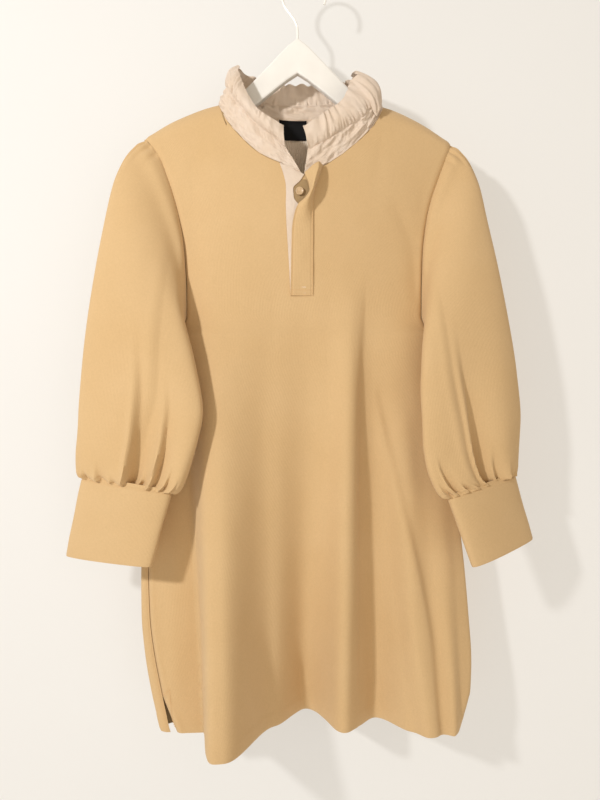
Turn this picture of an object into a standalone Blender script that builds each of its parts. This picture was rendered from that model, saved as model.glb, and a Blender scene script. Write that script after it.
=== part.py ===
"""French terry dress on a hanger.

Frame: metres, +Z up, the dress's front faces -Y and the wall behind it is at +Y. The origin is the
inside of the top of the hanger's hook, where it hangs on a peg. The tables below are in millimetres.
Left and right mean the side at -X and at +X.
"""

import math

import bmesh
import bpy
import numpy as np

MM = 0.001

# Cloth, mm
TERRY_WALL = 2.0        # loopback jersey of body, sleeves and cuffs
COTTON_WALL = 1.4       # woven cotton of collar and placket
FRILL_WALL = 1.2
LABEL_WALL = 1.0
SEAM_GAP = 0.3
CORNER_GAP = 1.1        # at each armhole's tip, where three pieces meet
UNDERARM_GAP = 2.2      # at its foot, where the sleeve doubles back over the seam

# Hanger, mm
HOOK_WIRE = 3.5
HOOK_RADIUS = 31.0      # of the wire's centre line
HOOK_FOOT_X = -9.0      # the neck of the hook stands on the hanger's middle
HOOK_ARC = (215.0, -22.0)   # from where the wire's bend meets the circle to its tip, degrees
HOOK_ARC_CELLS = 26
HOOK_BEND = {
    "columns": ("x", "z"),
    "rows": ((-9.0, -89.6), (-9.0, -80.0), (-9.7, -72.0), (-13.5, -63.0), (-19.5, -55.0)),
}
HANGER_DEPTH = 12.0
HANGER_EDGE = 2.5           # width of its rounded edges
HANGER_CELLS = 15

# Heights that several pieces share, mm
ARMHOLE_TIP_Z = -233.0
UNDERARM_Z = -512.0
HEM_Z = -1055.0
VENT_TOP_Z = -1008.0
SIDE_ROUNDING = 2.4         # exponent of the body's cross-section below the arms
CHEST_EDGE_STAND = 0.42     # how far the panels stand apart at the armholes, as a share of the middle

# The hanger's outline: distance out from its middle, its top edge and its lower edge
HANGER = {
    "columns": ("out", "top", "bottom"),
    "rows": (
        (0, -90, -141),
        (14, -101, -150),
        (38, -126, -169),
        (68, -157, -193),
        (98, -186, -212),
        (115, -196, -221),
        (135, -203, -230),
        (165, -216, -243),
        (190, -231, -253),
        (202, -241, -257),
        (206, -247, -254),
    ),
}

# The shoulder line and its run over the neck opening, and how far below it the cloth rounds over it
SHOULDER = {
    "columns": ("x", "z", "softness"),
    "rows": ((-226, -233, 18), (-180, -207, 22), (-122, -186, 30), (-60, -177, 34), (-9, -174, 34),
             (45, -178, 34), (113, -189, 30), (157, -208, 22), (208, -240, 18)),
}

# Neckline seams
NECK_FRONT = {
    "columns": ("x", "z"),
    "rows": ((-122, -186), (-113, -207), (-90, -238), (-59, -267), (-29, -282), (0, -296), (15, -290),
             (32, -281), (67, -254), (98, -220), (113, -189)),
}
NECK_BACK = {
    "columns": ("x", "z"),
    "rows": ((-122, -186), (-95, -188), (-60, -193), (-9, -197), (45, -195), (86, -191), (113, -189)),
}

# Armhole edges of the front: height of the left edge, where each side's edge lies
ARMHOLE = {
    "columns": ("z", "left", "right"),
    "rows": ((-233, -226, 208), (-264, -203, 197), (-289, -193, 188), (-319, -183, 178), (-346, -176, 172),
             (-378, -170, 168), (-408, -167, 166), (-450, -165, 165), (-484, -165, 165), (-499, -170, 170),
             (-508, -178, 177), (-512, -187, 185)),
}
BACK_ARMHOLE_EASE = 14.0    # the back's armhole is scooped less than the front's

# Body below the arms: silhouette, depth of the side seams, depth of the body's middle and how far the
# front and the back stand away from it
BODY = {
    "columns": ("z", "left", "right", "seam", "middle", "front", "back"),
    "rows": (
        (-190, -226, 208, 0, 0, 28, 26),
        (-240, -226, 208, 0, 0, 37, 29),
        (-296, -210, 200, 0, 0, 44, 32),
        (-400, -190, 190, 0, 0, 38, 32),
        (-512, -187, 185, -1, 0, 33, 32),
        (-604, -197, 197, 4, 0, 30, 32),
        (-720, -217, 214, 4, 0, 29, 33),
        (-843, -231, 228, -3, 0, 28, 35),
        (-907, -229, 232, -10, -1, 27, 37),
        (-955, -223, 234, -17, -2, 25, 39),
        (-1001, -213, 231, -26, -3, 22, 42),
        (-1055, -197, 215, -38, -5, 20, 45),
    ),
}

# Long folds: where the crest starts and where it meets the hem, its height at the hem (+ is outwards),
# its width left and right of the crest at the start and at the hem, how late it grows and how blunt its
# left flank is
FOLD_COLUMNS = ("start_z", "start_x", "hem_x", "height", "start_left", "start_right", "hem_left", "hem_right",
                "growth", "blunt")
FRONT_FOLDS = {
    "columns": FOLD_COLUMNS,
    "rows": (
        (-300, -132, -101, 86, 60, 95, 36, 64, 1.6, 2.6),   # the roll that swings forward on the left
        (-300, 4, 2, -50, 60, 70, 44, 44, 1.9, 1),          # hollow under the placket
        (-440, 66, 53, 19, 34, 22, 26, 26, 0.7, 1),         # sharp ridge right of the placket
        (-450, 98, 103, -34, 34, 60, 30, 46, 1.0, 1),       # hollow behind that ridge
        (-600, 122, 167, 14, 30, 40, 22, 30, 0.9, 1),       # slanting ridge
        (-700, 190, 203, 12, 30, 20, 22, 14, 1.0, 1),       # right side
    ),
}
BACK_FOLDS = {
    "columns": FOLD_COLUMNS,
    "rows": (
        (-330, 120, 128, 18, 70, 60, 40, 46, 1.3, 1),
        (-420, 60, 66, -12, 50, 50, 30, 34, 1.2, 1),
        (-300, 5, 0, 14, 70, 80, 44, 40, 1.2, 1),
        (-520, -62, -66, -13, 50, 50, 32, 30, 1.0, 1),
        (-450, -125, -118, 17, 60, 60, 38, 44, 1.3, 1),
    ),
}

# Columns of the panels: x on the shoulder line, across the left shoulder, the neck and the right one.
# -26, -19.5, 0 and 12 are the placket's edges.
LEFT_TIP = -226.0
RIGHT_TIP = 208.0
LEFT_NECK = -122.0
RIGHT_NECK = 113.0
PLACKET_UNDER_X = (-26.0, -19.5, -9.0, 0.0)
FRONT_X = (-226, -223, -217, -206, -191, -174, -157, -140, -122, -114, -105, -88, -72, -56, -40, -26, -19.5, -9,
           0, 12, 26, 40, 54, 68, 84, 97, 106, 113, 130, 148, 164, 180, 192, 201, 206, 208)
BACK_X = (-226, -223, -217, -202, -178, -150, -122, -95, -65, -36, -16, 4, 30, 58, 86, 113, 138, 166, 187, 201,
          206, 208)

# Rows of the panels: fractions of the way from the top edge to the underarm, then heights to the hem
PLACKET_FOOT = 0.753
UPPER_ROWS = (0, 0.035, 0.085, 0.15, 0.25, 0.36, 0.48, 0.6, PLACKET_FOOT, 0.87, 0.95, 0.985, 1)
LOWER_ROWS = (-540, -580, -630, -690, -760, -830, -890, -945, VENT_TOP_Z, -1030, HEM_Z)
VENT_OPENING = 0.022        # share of the front's width that the vent's edge draws back at the hem
NECK_CORNER_TWIST = 0.8     # how far the wall beside the neck's corners leans towards the corner's upright edge

# Heights between which the open armholes' cross-section turns into the closed one below the arms
TURN_AT_SIDES = (-496.0, -512.0)
TURN_IN_MIDDLE = (-440.0, -640.0)
SIDE_SHARE = 5              # exponent that keeps the sides' quick turn close to the sides
FOLDS_REACH_SIDES = (-505.0, -600.0)
SIDE_SEAM_STRIP = 0.03      # share of the width beside each side seam that the folds leave flat

# Sleeves: outer edge, inner edge and half thickness of each ring, cap to wrist. The first ring is the
# armhole, and "armhole" says how much of its shape each next ring keeps.
SLEEVE_COLUMNS = ("outer_x", "outer_y", "outer_z", "inner_x", "inner_y", "inner_z", "depth", "armhole")
LEFT_SLEEVE = {
    "columns": SLEEVE_COLUMNS,
    "rows": (
        (-226, 0, -233, -165, -13, -476, 20, 1.0),
        (-246, -9, -252, -166, -27, -488, 18, 0.75),
        (-262, -16, -290, -163, -40, -500, 20, 0.5),
        (-275, -23, -350, -157, -50, -518, 21, 0.3),
        (-287, -31, -425, -149, -58, -548, 20, 0.12),
        (-297, -36, -500, -141, -64, -587, 19, 0.0),
        (-304, -37, -565, -137, -67, -620, 18, 0.0),
        (-309, -37, -625, -142, -68, -654, 18, 0.0),
        (-311, -37, -670, -152, -69, -690, 17, 0.0),
        (-308, -36, -702, -166, -69, -719, 15, 0.0),
        (-303, -36, -710, -177, -69, -727, 13, 0.0),
    ),
}
RIGHT_SLEEVE = {
    "columns": SLEEVE_COLUMNS,
    "rows": (
        (208, 0, -240, 165, -13, -476, 20, 1.0),
        (226, -9, -258, 166, -27, -488, 18, 0.75),
        (241, -16, -296, 164, -41, -500, 20, 0.5),
        (253, -22, -353, 161, -52, -518, 21, 0.3),
        (267, -28, -422, 158, -61, -548, 20, 0.12),
        (281, -31, -500, 156, -67, -588, 19, 0.0),
        (291, -32, -565, 157, -71, -625, 18, 0.0),
        (297, -32, -628, 158, -74, -662, 18, 0.0),
        (294, -31, -672, 163, -77, -694, 17, 0.0),
        (290, -30, -700, 177, -80, -722, 15, 0.0),
        (288, -30, -707, 189, -82, -732, 13, 0.0),
    ),
}
SLEEVE_SIDES = 48
FOLD_ROW = 9            # row of the front where the sleeve's inner fold leaves the armhole
FOOT_SIDES = 5          # sides of the sleeve's ring between that row and the underarm
SLEEVE_GATHERS = 12
GATHER_HEIGHT = 3.2
SMOOTH_RINGS = 3        # rings below the armhole whose corners keep the wall's full thickness
GATHER_START = 0.62     # share of the sleeve's rings above the first gather

# Long creases pressed into the sleeves: place round the ring (0 outer edge, 0.25 front, 0.5 inner edge),
# first and last ring as shares, depth and half width as a share of the ring
CREASE_COLUMNS = ("around", "first", "last", "depth", "width")
LEFT_CREASES = {
    "columns": CREASE_COLUMNS,
    "rows": ((0.25, 0.55, 1.02, 6.0, 0.05), (0.41, 0.6, 1.0, 4.5, 0.05), (0.1, 0.85, 1.0, 3.0, 0.04),
             (0.72, 0.5, 1.0, 5.0, 0.05)),
}
RIGHT_CREASES = {
    "columns": CREASE_COLUMNS,
    "rows": ((0.3, 0.42, 1.02, 6.5, 0.055), (0.17, 0.75, 1.0, 4.0, 0.04), (0.42, 0.8, 1.0, 3.0, 0.04),
             (0.78, 0.5, 1.0, 5.0, 0.05)),
}

# Cuffs: outer and inner edge at the foot, and half thickness there
CUFF_SIDES = 28
CUFF_ROWS = (0, 0.12, 0.55, 1)
CUFF_BELLY = 0.8            # how far the cuff stands out just below its seam
LEFT_CUFF_FOOT = {"outer": (-325, -37, -817), "inner": (-203, -72, -824), "depth": 11}
RIGHT_CUFF_FOOT = {"outer": (313, -31, -795), "inner": (220, -86, -821), "depth": 11}

# Collar, from the right front end round the back to the left front end: share of the neckline, where
# the band's top lies from its seam and where the frill's rim lies from the band's top
COLLAR = {
    "columns": ("along", "band_x", "band_y", "band_z", "frill_x", "frill_y", "frill_z"),
    "rows": (
        (0.0, 5, -5, 33, -6, -5, 30),
        (0.064, 3, -4, 34, -6, -8, 33),
        (0.137, -1, -6, 27, -17, -10, 27),
        (0.172, -2, -9, 22, -22, -8, 31),
        (0.218, -6, -8, 20, -26, -2, 36),
        (0.281, -14, -3, 22, -26, 2, 29),
        (0.328, -11, 6, 24, -14, 10, 30),
        (0.405, 0, 7, 24, 0, 9, 32),
        (0.496, 0, 5, 24, 0, 10, 33),
        (0.581, 3, 7, 24, 3, 10, 32),
        (0.652, 10, 6, 25, 9, 9, 31),
        (0.7, 12, -2, 26, 12, 2, 32),
        (0.755, 12, -6, 26, 14, -2, 32),
        (0.822, 5, -5, 34, 12, -8, 24),
        (0.894, -3, -4, 37, 8, -14, 20),
        (0.95, -14, -5, 37, 2, -13, 22),
        (1.0, -23, -5, 36, -2, -6, 27),
    ),
}
COLLAR_FRONT_GAP = 1.6      # each end of the collar stops this far from the centre front
COLLAR_EASE = 0.35          # more room at the collar's seams, which turn sharply at the neck's corners
BAND_LEVELS = (1.0, 0.66, 0.33, 0.0)
BAND_BELLY = 0.8            # how far the band stands out between its two seams
FRILL_WAVES = 24
FRILL_STEP = 4.2            # length of one facet along the frill's foot
FRILL_WAVE_HEIGHT = 3.6
FRILL_FREE_STEP = 6.0       # facet length along the rim from which its waves stand at full height
FRILL_MIDDLE = 0.45         # height of the frill's middle row, and its share of the waves' height
FRILL_MIDDLE_WAVE = 0.75

# Placket, button and label
# Overlap's edges down the front: panel row, free edge's x, stitched edge's x, extra lift of the free edge
PLACKET_OVER = {
    "columns": ("row", "free_x", "sewn_x", "lift"),
    "rows": (
        (0.12, 1.5, 21, 1.5),
        (1, 3.5, 18, 2.5),
        (2, 4.5, 15, 3.0),
        (3, -3.5, 12, 2.0),
        (4, -14.5, 12, 0.8),
        (5, -18, 12, 0.2),
        (6, -19.5, 12, 0),
        (7, -19.5, 12, 0),
        (8, -19.5, 12, 0),
    ),
}
PLACKET_OVER_ACROSS = (0, 0.33, 0.62, 1)    # its columns, and their shares of the free edge's lift
PLACKET_OVER_LIFTS = (1, 0.5, 0.15, 0)
BUTTON_PLACE = (-7.5, -321.0)
BUTTON_SIDES = 20
BUTTON_LIFT = 0.3           # over the underlap
BUTTON = {
    "columns": ("radius", "height"),
    "rows": ((5.1, 0), (5.6, 0.6), (5.6, 1.8), (4.9, 2.4), (3.8, 2.3), (3.0, 1.6)),
}
LABEL_WIDTH = 40.0
LABEL_HEIGHT = 28.0
LABEL_MIDDLE_X = -16.0
LABEL_DROP = 0.4            # from the back's neck edge to the label's top
LABEL_GAP = 0.5             # from the back's inner face to the label
LABEL_CELLS = 5

COLOURS = {
    "terry": (0.66, 0.43, 0.21, 1.0),
    "cream_cotton": (0.84, 0.76, 0.62, 1.0),
    "button_horn": (0.80, 0.68, 0.48, 1.0),
    "label_satin": (0.012, 0.011, 0.010, 1.0),
    "white_lacquer": (0.86, 0.84, 0.80, 1.0),
    "white_wire": (0.88, 0.86, 0.82, 1.0),
}
ROUGHNESS = {"terry": 0.9, "cream_cotton": 0.8, "button_horn": 0.35, "label_satin": 0.5, "white_lacquer": 0.3,
             "white_wire": 0.3}


# ---------------------------------------------------------------- tables and curves

def column(table, name):
    place = table["columns"].index(name)
    return np.array([row[place] for row in table["rows"]], dtype=float)


def smooth(keys, values, at):
    """Cubic through the keys that never overshoots between them."""
    keys = np.asarray(keys, dtype=float)
    values = np.asarray(values, dtype=float)
    if keys[0] > keys[-1]:
        keys = keys[::-1]
        values = values[::-1]
    steps = np.diff(keys)
    slopes = np.diff(values) / steps
    tangents = np.zeros(len(keys))
    tangents[0] = slopes[0]
    tangents[-1] = slopes[-1]
    same_way = slopes[:-1] * slopes[1:] > 0
    pair = slopes[:-1] + slopes[1:]
    pair[~same_way] = 1.0
    tangents[1:-1] = np.where(same_way, 2 * slopes[:-1] * slopes[1:] / pair, 0.0)
    at = np.clip(np.asarray(at, dtype=float), keys[0], keys[-1])
    place = np.clip(np.searchsorted(keys, at) - 1, 0, len(keys) - 2)
    step = steps[place]
    share = (at - keys[place]) / step
    rise = 3 * share**2 - 2 * share**3
    ends = (1 - rise) * values[place] + rise * values[place + 1]
    bends = (share**3 - 2 * share**2 + share) * tangents[place] + (share**3 - share**2) * tangents[place + 1]
    return ends + step * bends


def read(table, key, name, at):
    return smooth(column(table, key), column(table, name), at)


def blend(low, high, share):
    return low + (high - low) * share


def ease(start, end, at):
    """0 before the start, 1 after the end and a smooth step between."""
    share = np.clip((at - start) / (end - start), 0, 1)
    return share * share * (3 - 2 * share)


def unit(vectors):
    return vectors / np.maximum(np.linalg.norm(vectors, axis=-1, keepdims=True), 1e-12)


# ---------------------------------------------------------------- meshes

def material(name):
    made = bpy.data.materials.get(name)
    if made is None:
        made = bpy.data.materials.new(name)
        made.use_nodes = True
        shader = made.node_tree.nodes["Principled BSDF"]
        shader.inputs["Base Color"].default_value = COLOURS[name]
        shader.inputs["Roughness"].default_value = ROUGHNESS[name]
    return made


def add_object(name, vertices, faces, material_name):
    """Object from points in millimetres, its faces turned outwards."""
    mesh = bpy.data.meshes.new(name)
    mesh.from_pydata([tuple(point * MM) for point in vertices], [], faces)
    mesh.materials.append(material(material_name))
    shape = bmesh.new()
    shape.from_mesh(mesh)
    bmesh.ops.recalc_face_normals(shape, faces=shape.faces)
    if shape.calc_volume(signed=True) < 0:
        bmesh.ops.reverse_faces(shape, faces=shape.faces)
    shape.to_mesh(mesh)
    shape.free()
    mesh.shade_smooth()
    mesh.set_sharp_from_angle(angle=math.radians(50))
    made = bpy.data.objects.new(name, mesh)
    bpy.context.scene.collection.objects.link(made)
    return made


def normals_of(grid, closed=False):
    """Outward directions of a grid whose rows run down and whose columns run anticlockwise from above."""
    down = np.gradient(grid, axis=0)
    if closed:
        across = np.roll(grid, -1, axis=1) - np.roll(grid, 1, axis=1)
    else:
        across = np.gradient(grid, axis=1)
    return unit(np.cross(down, across))


def ring_normals(ring):
    """Outward directions of a flat ring, in the ring's own plane."""
    across = np.roll(ring, -1, axis=0) - np.roll(ring, 1, axis=0)
    middle = ring.mean(axis=0)
    plane = unit(np.cross(ring - middle, np.roll(ring, -1, axis=0) - middle).sum(axis=0))
    return unit(np.cross(across, plane))


def corner_reach(ring):
    """How much further a ring's corners lie from its inner face than its flat stretches do."""
    across = unit(np.roll(ring, -1, axis=0) - ring)
    before = np.roll(across, 1, axis=0)
    half_turn_cosine = np.sqrt(np.clip((1 + (across * before).sum(axis=1)) / 2, 0.3, 1))
    return 1 / half_turn_cosine


def add_wall(name, outer, inner, material_name, closed=False):
    """Closed cloth wall between an outer grid and an inner grid of the same size.

    Both faces of a quad are split along the same diagonal, so that a twisted quad keeps its thickness.
    """
    rows, columns, _ = outer.shape
    vertices = np.concatenate([outer.reshape(-1, 3), inner.reshape(-1, 3)])
    under = rows * columns

    def at(row, place):
        return row * columns + place % columns

    faces = []
    spans = columns if closed else columns - 1
    for row in range(rows - 1):
        for place in range(spans):
            a, b, c, d = (at(row, place), at(row, place + 1), at(row + 1, place + 1), at(row + 1, place))
            one_way = np.linalg.norm(vertices[a] - vertices[c]) < np.linalg.norm(vertices[b] - vertices[d])
            halves = ((a, b, c), (a, c, d)) if one_way else ((a, b, d), (b, c, d))
            for half in halves:
                faces.append(half)
                faces.append(tuple(under + corner for corner in reversed(half)))
    for row in (0, rows - 1):
        for place in range(spans):
            here, after = at(row, place), at(row, place + 1)
            faces.append((here, after, under + after, under + here))
    if not closed:
        for place in (0, columns - 1):
            for row in range(rows - 1):
                here, below = at(row, place), at(row + 1, place)
                faces.append((here, below, under + below, under + here))
    return add_object(name, vertices, faces, material_name)


def sample(grid, rows, places):
    """Points of a grid at fractional rows and columns."""
    rows = np.asarray(rows, dtype=float)
    places = np.asarray(places, dtype=float)
    low_row = np.clip(np.floor(rows).astype(int), 0, grid.shape[0] - 2)
    low_place = np.clip(np.floor(places).astype(int), 0, grid.shape[1] - 2)
    row_share = (rows - low_row)[..., None]
    place_share = (places - low_place)[..., None]
    top = blend(grid[low_row, low_place], grid[low_row, low_place + 1], place_share)
    foot = blend(grid[low_row + 1, low_place], grid[low_row + 1, low_place + 1], place_share)
    return blend(top, foot, row_share)


# ---------------------------------------------------------------- front and back

def fold_depth(table, x, z):
    """How far the long folds push a panel outwards at a point."""
    total = np.zeros_like(x)
    for row in table["rows"]:
        fold = dict(zip(table["columns"], row))
        share = np.clip((fold["start_z"] - z) / (fold["start_z"] - HEM_Z), 0, 1)
        crest = blend(fold["start_x"], fold["hem_x"], share)
        left = blend(fold["start_left"], fold["hem_left"], share)
        right = blend(fold["start_right"], fold["hem_right"], share)
        reach = np.where(x < crest, left, right)
        off = np.clip(np.abs(x - crest) / reach, 0, 1)
        off = np.where(x < crest, off ** blend(1.0, fold["blunt"], share), off)
        total = total + fold["height"] * share ** fold["growth"] * 0.5 * (1 + np.cos(math.pi * off))
    return total


def panel_row(x, z, f, fullness, folds, away):
    """Points of one row of the front (away is -1) or the back (away is 1); f runs from 0 to 1 across it."""
    middle = np.sin(math.pi * f)
    flat = blend(CHEST_EDGE_STAND, 1.0, middle ** 0.8)
    rounded = (1 - np.abs(2 * f - 1) ** SIDE_ROUNDING) ** (1 / SIDE_ROUNDING)
    near_side = np.abs(2 * f - 1) ** SIDE_SHARE
    turned = ease(blend(TURN_IN_MIDDLE[0], TURN_AT_SIDES[0], near_side),
                  blend(TURN_IN_MIDDLE[1], TURN_AT_SIDES[1], near_side), z)
    below = np.clip((read(SHOULDER, "x", "z", x) - z) / read(SHOULDER, "x", "softness", x), 0, 1)
    over_shoulder = np.sqrt(1 - (1 - below) ** 2)
    stand = read(BODY, "z", fullness, z) * blend(flat, rounded, turned) * over_shoulder
    seam = read(BODY, "z", "seam", z) * turned
    axis = blend(seam, read(BODY, "z", "middle", z), middle ** 2)
    inside = np.clip(np.minimum(f, 1 - f) / SIDE_SEAM_STRIP, 0, 1)
    folding = fold_depth(folds, x, z) * blend(middle, inside, ease(*FOLDS_REACH_SIDES, z))
    return np.stack([x, axis + away * (stand + folding), z], axis=1)


def panel_grid(columns_x, neck, fullness, folds, away, arm_ease):
    """Outer points of the front or the back, from its top edge to the hem."""
    x_top = np.array(columns_x, dtype=float)
    f = (x_top - LEFT_TIP) / (RIGHT_TIP - LEFT_TIP)
    over_neck = (x_top > LEFT_NECK) & (x_top < RIGHT_NECK)
    z_top = np.where(over_neck, read(neck, "x", "z", x_top), read(SHOULDER, "x", "z", x_top))
    rows = []
    for share in UPPER_ROWS:
        edge_z = blend(ARMHOLE_TIP_Z, UNDERARM_Z, share)
        scoop = arm_ease * math.sin(math.pi * share)
        left = read(ARMHOLE, "z", "left", edge_z) - scoop
        right = read(ARMHOLE, "z", "right", edge_z) + scoop
        rows.append(panel_row(blend(left, right, f), blend(z_top, UNDERARM_Z, share), f, fullness, folds, away))
    for z_level in LOWER_ROWS:
        opening = 0.0
        if z_level < VENT_TOP_Z and away < 0:
            opening = VENT_OPENING * (VENT_TOP_Z - z_level) / (VENT_TOP_Z - HEM_Z)
        across = blend(opening, 1 - opening, f)
        z = np.full_like(across, z_level)
        x = blend(read(BODY, "z", "left", z), read(BODY, "z", "right", z), across)
        rows.append(panel_row(x, z, across, fullness, folds, away))
    return np.array(rows)


def split_seams(grid, away):
    """Moves the edges that are sewn to the other panel half a seam gap apart and squares them to it."""
    normals = normals_of(grid)
    under = len(UPPER_ROWS) - 1
    half = away * SEAM_GAP / 2
    x_top = grid[0, :, 0]
    for place in (0, -1):
        side = -1.0 if x_top[place] < 0 else 1.0
        normals[under:, place] = (side, 0, 0)
        grid[under:, place, 1] += half
    for place, x in enumerate(x_top):
        if LEFT_NECK < x < RIGHT_NECK:
            continue
        slope = np.diff(read(SHOULDER, "x", "z", [x - 1, x + 1]))[0] / 2
        normals[0, place] = unit(np.array([-slope, 0, 1.0]))
        grid[0, place, 1] += half
    for corner, neighbour in ((LEFT_NECK, 1), (RIGHT_NECK, -1)):
        place = int(np.argmin(np.abs(x_top - corner)))
        place += neighbour if x_top[-1] > x_top[0] else -neighbour
        normals[0, place] = unit(normals[0, place] + np.array([0, 0, NECK_CORNER_TWIST]))
    return normals


def body_panels():
    front = panel_grid(FRONT_X, NECK_FRONT, "front", FRONT_FOLDS, -1, 0.0)
    back = panel_grid(BACK_X, NECK_BACK, "back", BACK_FOLDS, 1, BACK_ARMHOLE_EASE)
    front_normals = split_seams(front, -1)
    back_flipped = back[:, ::-1]
    back_normals = split_seams(back_flipped, 1)
    panels = {
        "front": front, "front_normals": front_normals, "front_inner": front - front_normals * TERRY_WALL,
        "back": back_flipped, "back_normals": back_normals,
        "back_inner": back_flipped - back_normals * TERRY_WALL,
    }
    add_wall("dress_front", panels["front"], panels["front_inner"], "terry")
    add_wall("dress_back", panels["back"], panels["back_inner"], "terry")
    return panels


# ---------------------------------------------------------------- sleeves and cuffs

def armhole_ring(panels, side):
    """Ring just outside the front's and the back's armhole edges, and the ways that lead off the panels."""
    under = len(UPPER_ROWS)
    half = SLEEVE_SIDES // 2
    outwards = -1.0 if side == "left" else 1.0
    ends = {"left": (0, -1), "right": (-1, 0)}[side]
    front_rows = np.linspace(0, FOLD_ROW, half + 1)
    foot_rows = np.linspace(FOLD_ROW, under - 1, FOOT_SIDES + 1)
    back_rows = np.linspace(under - 1, 0, half - FOOT_SIDES + 1)
    halves = []
    for panel, place in zip(("front", "back"), ends):
        inside = 1 if place == 0 else -2
        edge = panels[panel][:under, place]
        away = unit(np.cross(np.gradient(edge, axis=0), panels[panel + "_normals"][:under, place]))
        off_panel = edge - panels[panel][:under, inside]
        away = away * np.where((away * off_panel).sum(axis=1, keepdims=True) < 0, -1, 1)
        away[0] = unit(np.array([outwards, 0, 0.3]))
        away[-1] = (0, 0, 1)
        clear = np.full((under, 1), SEAM_GAP)
        clear[0] = CORNER_GAP
        clear[-3:] = UNDERARM_GAP
        both = np.concatenate([edge + away * clear, away], axis=1)
        halves.append(both[:, None].repeat(2, axis=1))
    front, back = halves
    front[0] = back[0] = (front[0] + back[0]) / 2
    front[-1] = back[-1] = (front[-1] + back[-1]) / 2
    down_front = sample(front, front_rows, np.zeros(len(front_rows)))
    round_foot = sample(front, foot_rows, np.zeros(len(foot_rows)))
    up_back = sample(back, back_rows, np.zeros(len(back_rows)))
    ring = np.concatenate([down_front[:-1], round_foot[:-1], up_back[:-1]])
    if side == "right":
        ring = np.roll(ring[::-1], half + 1, axis=0)
    return ring[:, :3], unit(ring[:, 3:])


def flat_ring(first, last, depth, sides):
    """Flattened ring from the edge at -X, round the front, to the edge at +X and back."""
    angle = np.arange(sides) * 2 * math.pi / sides
    chord = (last - first) / 2
    middle = (last + first) / 2
    forward = np.array([0.0, -1.0, 0.0])
    forward = unit(forward - unit(chord) * np.dot(forward, unit(chord)))
    bulge = np.sign(np.sin(angle)) * np.abs(np.sin(angle)) ** 0.85
    return middle - np.cos(angle)[:, None] * chord + (bulge * depth)[:, None] * forward


def sleeve_rings(table, creases, armhole, side):
    rows = [dict(zip(table["columns"], row)) for row in table["rows"]]
    rings = []
    for index, row in enumerate(rows):
        share = index / (len(rows) - 1)
        outer_edge = np.array([row["outer_x"], row["outer_y"], row["outer_z"]], dtype=float)
        inner_edge = np.array([row["inner_x"], row["inner_y"], row["inner_z"]], dtype=float)
        ends = (outer_edge, inner_edge) if side == "left" else (inner_edge, outer_edge)
        ring = flat_ring(*ends, row["depth"], SLEEVE_SIDES)
        if index == 0:
            from_flat = armhole - ring
        ring = ring + from_flat * row["armhole"]
        around = np.arange(SLEEVE_SIDES) / SLEEVE_SIDES
        if side == "right":
            around = (0.5 - around) % 1
        push = np.zeros(SLEEVE_SIDES)
        grow = np.clip((share - GATHER_START) / (1 - GATHER_START), 0, 1)
        waves = np.cos(2 * math.pi * SLEEVE_GATHERS * around)
        uneven = 0.75 + 0.25 * np.sin(2 * math.pi * 3 * around + 1.0)
        push += GATHER_HEIGHT * grow ** 1.5 * waves * uneven
        for crease_row in creases["rows"]:
            crease = dict(zip(creases["columns"], crease_row))
            if not crease["first"] < share < crease["last"]:
                continue
            along = (share - crease["first"]) / (crease["last"] - crease["first"])
            off = np.abs((around - crease["around"] + 0.5) % 1 - 0.5) / crease["width"]
            push -= crease["depth"] * math.sin(math.pi * min(along, 0.8)) * np.exp(-off ** 2)
        if index:
            ring = ring + ring_normals(ring) * push[:, None]
        rings.append(ring)
    return np.array(rings)


def add_sleeve_and_cuff(panels, side, table, creases, cuff_foot):
    armhole, off_panel = armhole_ring(panels, side)
    rings = sleeve_rings(table, creases, armhole, side)
    normals = normals_of(rings, closed=True)
    normals[-1] = ring_normals(rings[-1])
    into_panel = np.maximum((normals[0] * off_panel).sum(axis=1, keepdims=True), 0)
    normals[0] = unit(normals[0] - off_panel * into_panel)
    reach = np.array([corner_reach(ring) if index < SMOOTH_RINGS else np.ones(SLEEVE_SIDES)
                      for index, ring in enumerate(rings)])[:, :, None]
    add_wall("sleeve_" + side, rings, rings - normals * reach * TERRY_WALL, "terry", closed=True)

    last = table["rows"][-1]
    top_outer = np.array(last[0:3], dtype=float)
    top_inner = np.array(last[3:6], dtype=float)
    foot_outer = np.array(cuff_foot["outer"], dtype=float)
    foot_inner = np.array(cuff_foot["inner"], dtype=float)
    top_ends = (top_outer, top_inner) if side == "left" else (top_inner, top_outer)
    foot_ends = (foot_outer, foot_inner) if side == "left" else (foot_inner, foot_outer)
    top = flat_ring(*top_ends, last[6], CUFF_SIDES)
    foot = flat_ring(*foot_ends, cuff_foot["depth"], CUFF_SIDES)
    down = unit(np.cross(top[CUFF_SIDES // 4] - top[0], top[CUFF_SIDES // 2] - top[0]))
    if down[2] > 0:
        down = -down
    top = top + down * SEAM_GAP
    cuff = np.array([blend(top, foot, share) for share in CUFF_ROWS])
    cuff[1] += ring_normals(cuff[1]) * CUFF_BELLY
    cuff_normals = normals_of(cuff, closed=True)
    cuff_normals[0] = ring_normals(cuff[0])
    add_wall("cuff_" + side, cuff, cuff - cuff_normals * TERRY_WALL, "terry", closed=True)


# ---------------------------------------------------------------- collar

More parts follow.
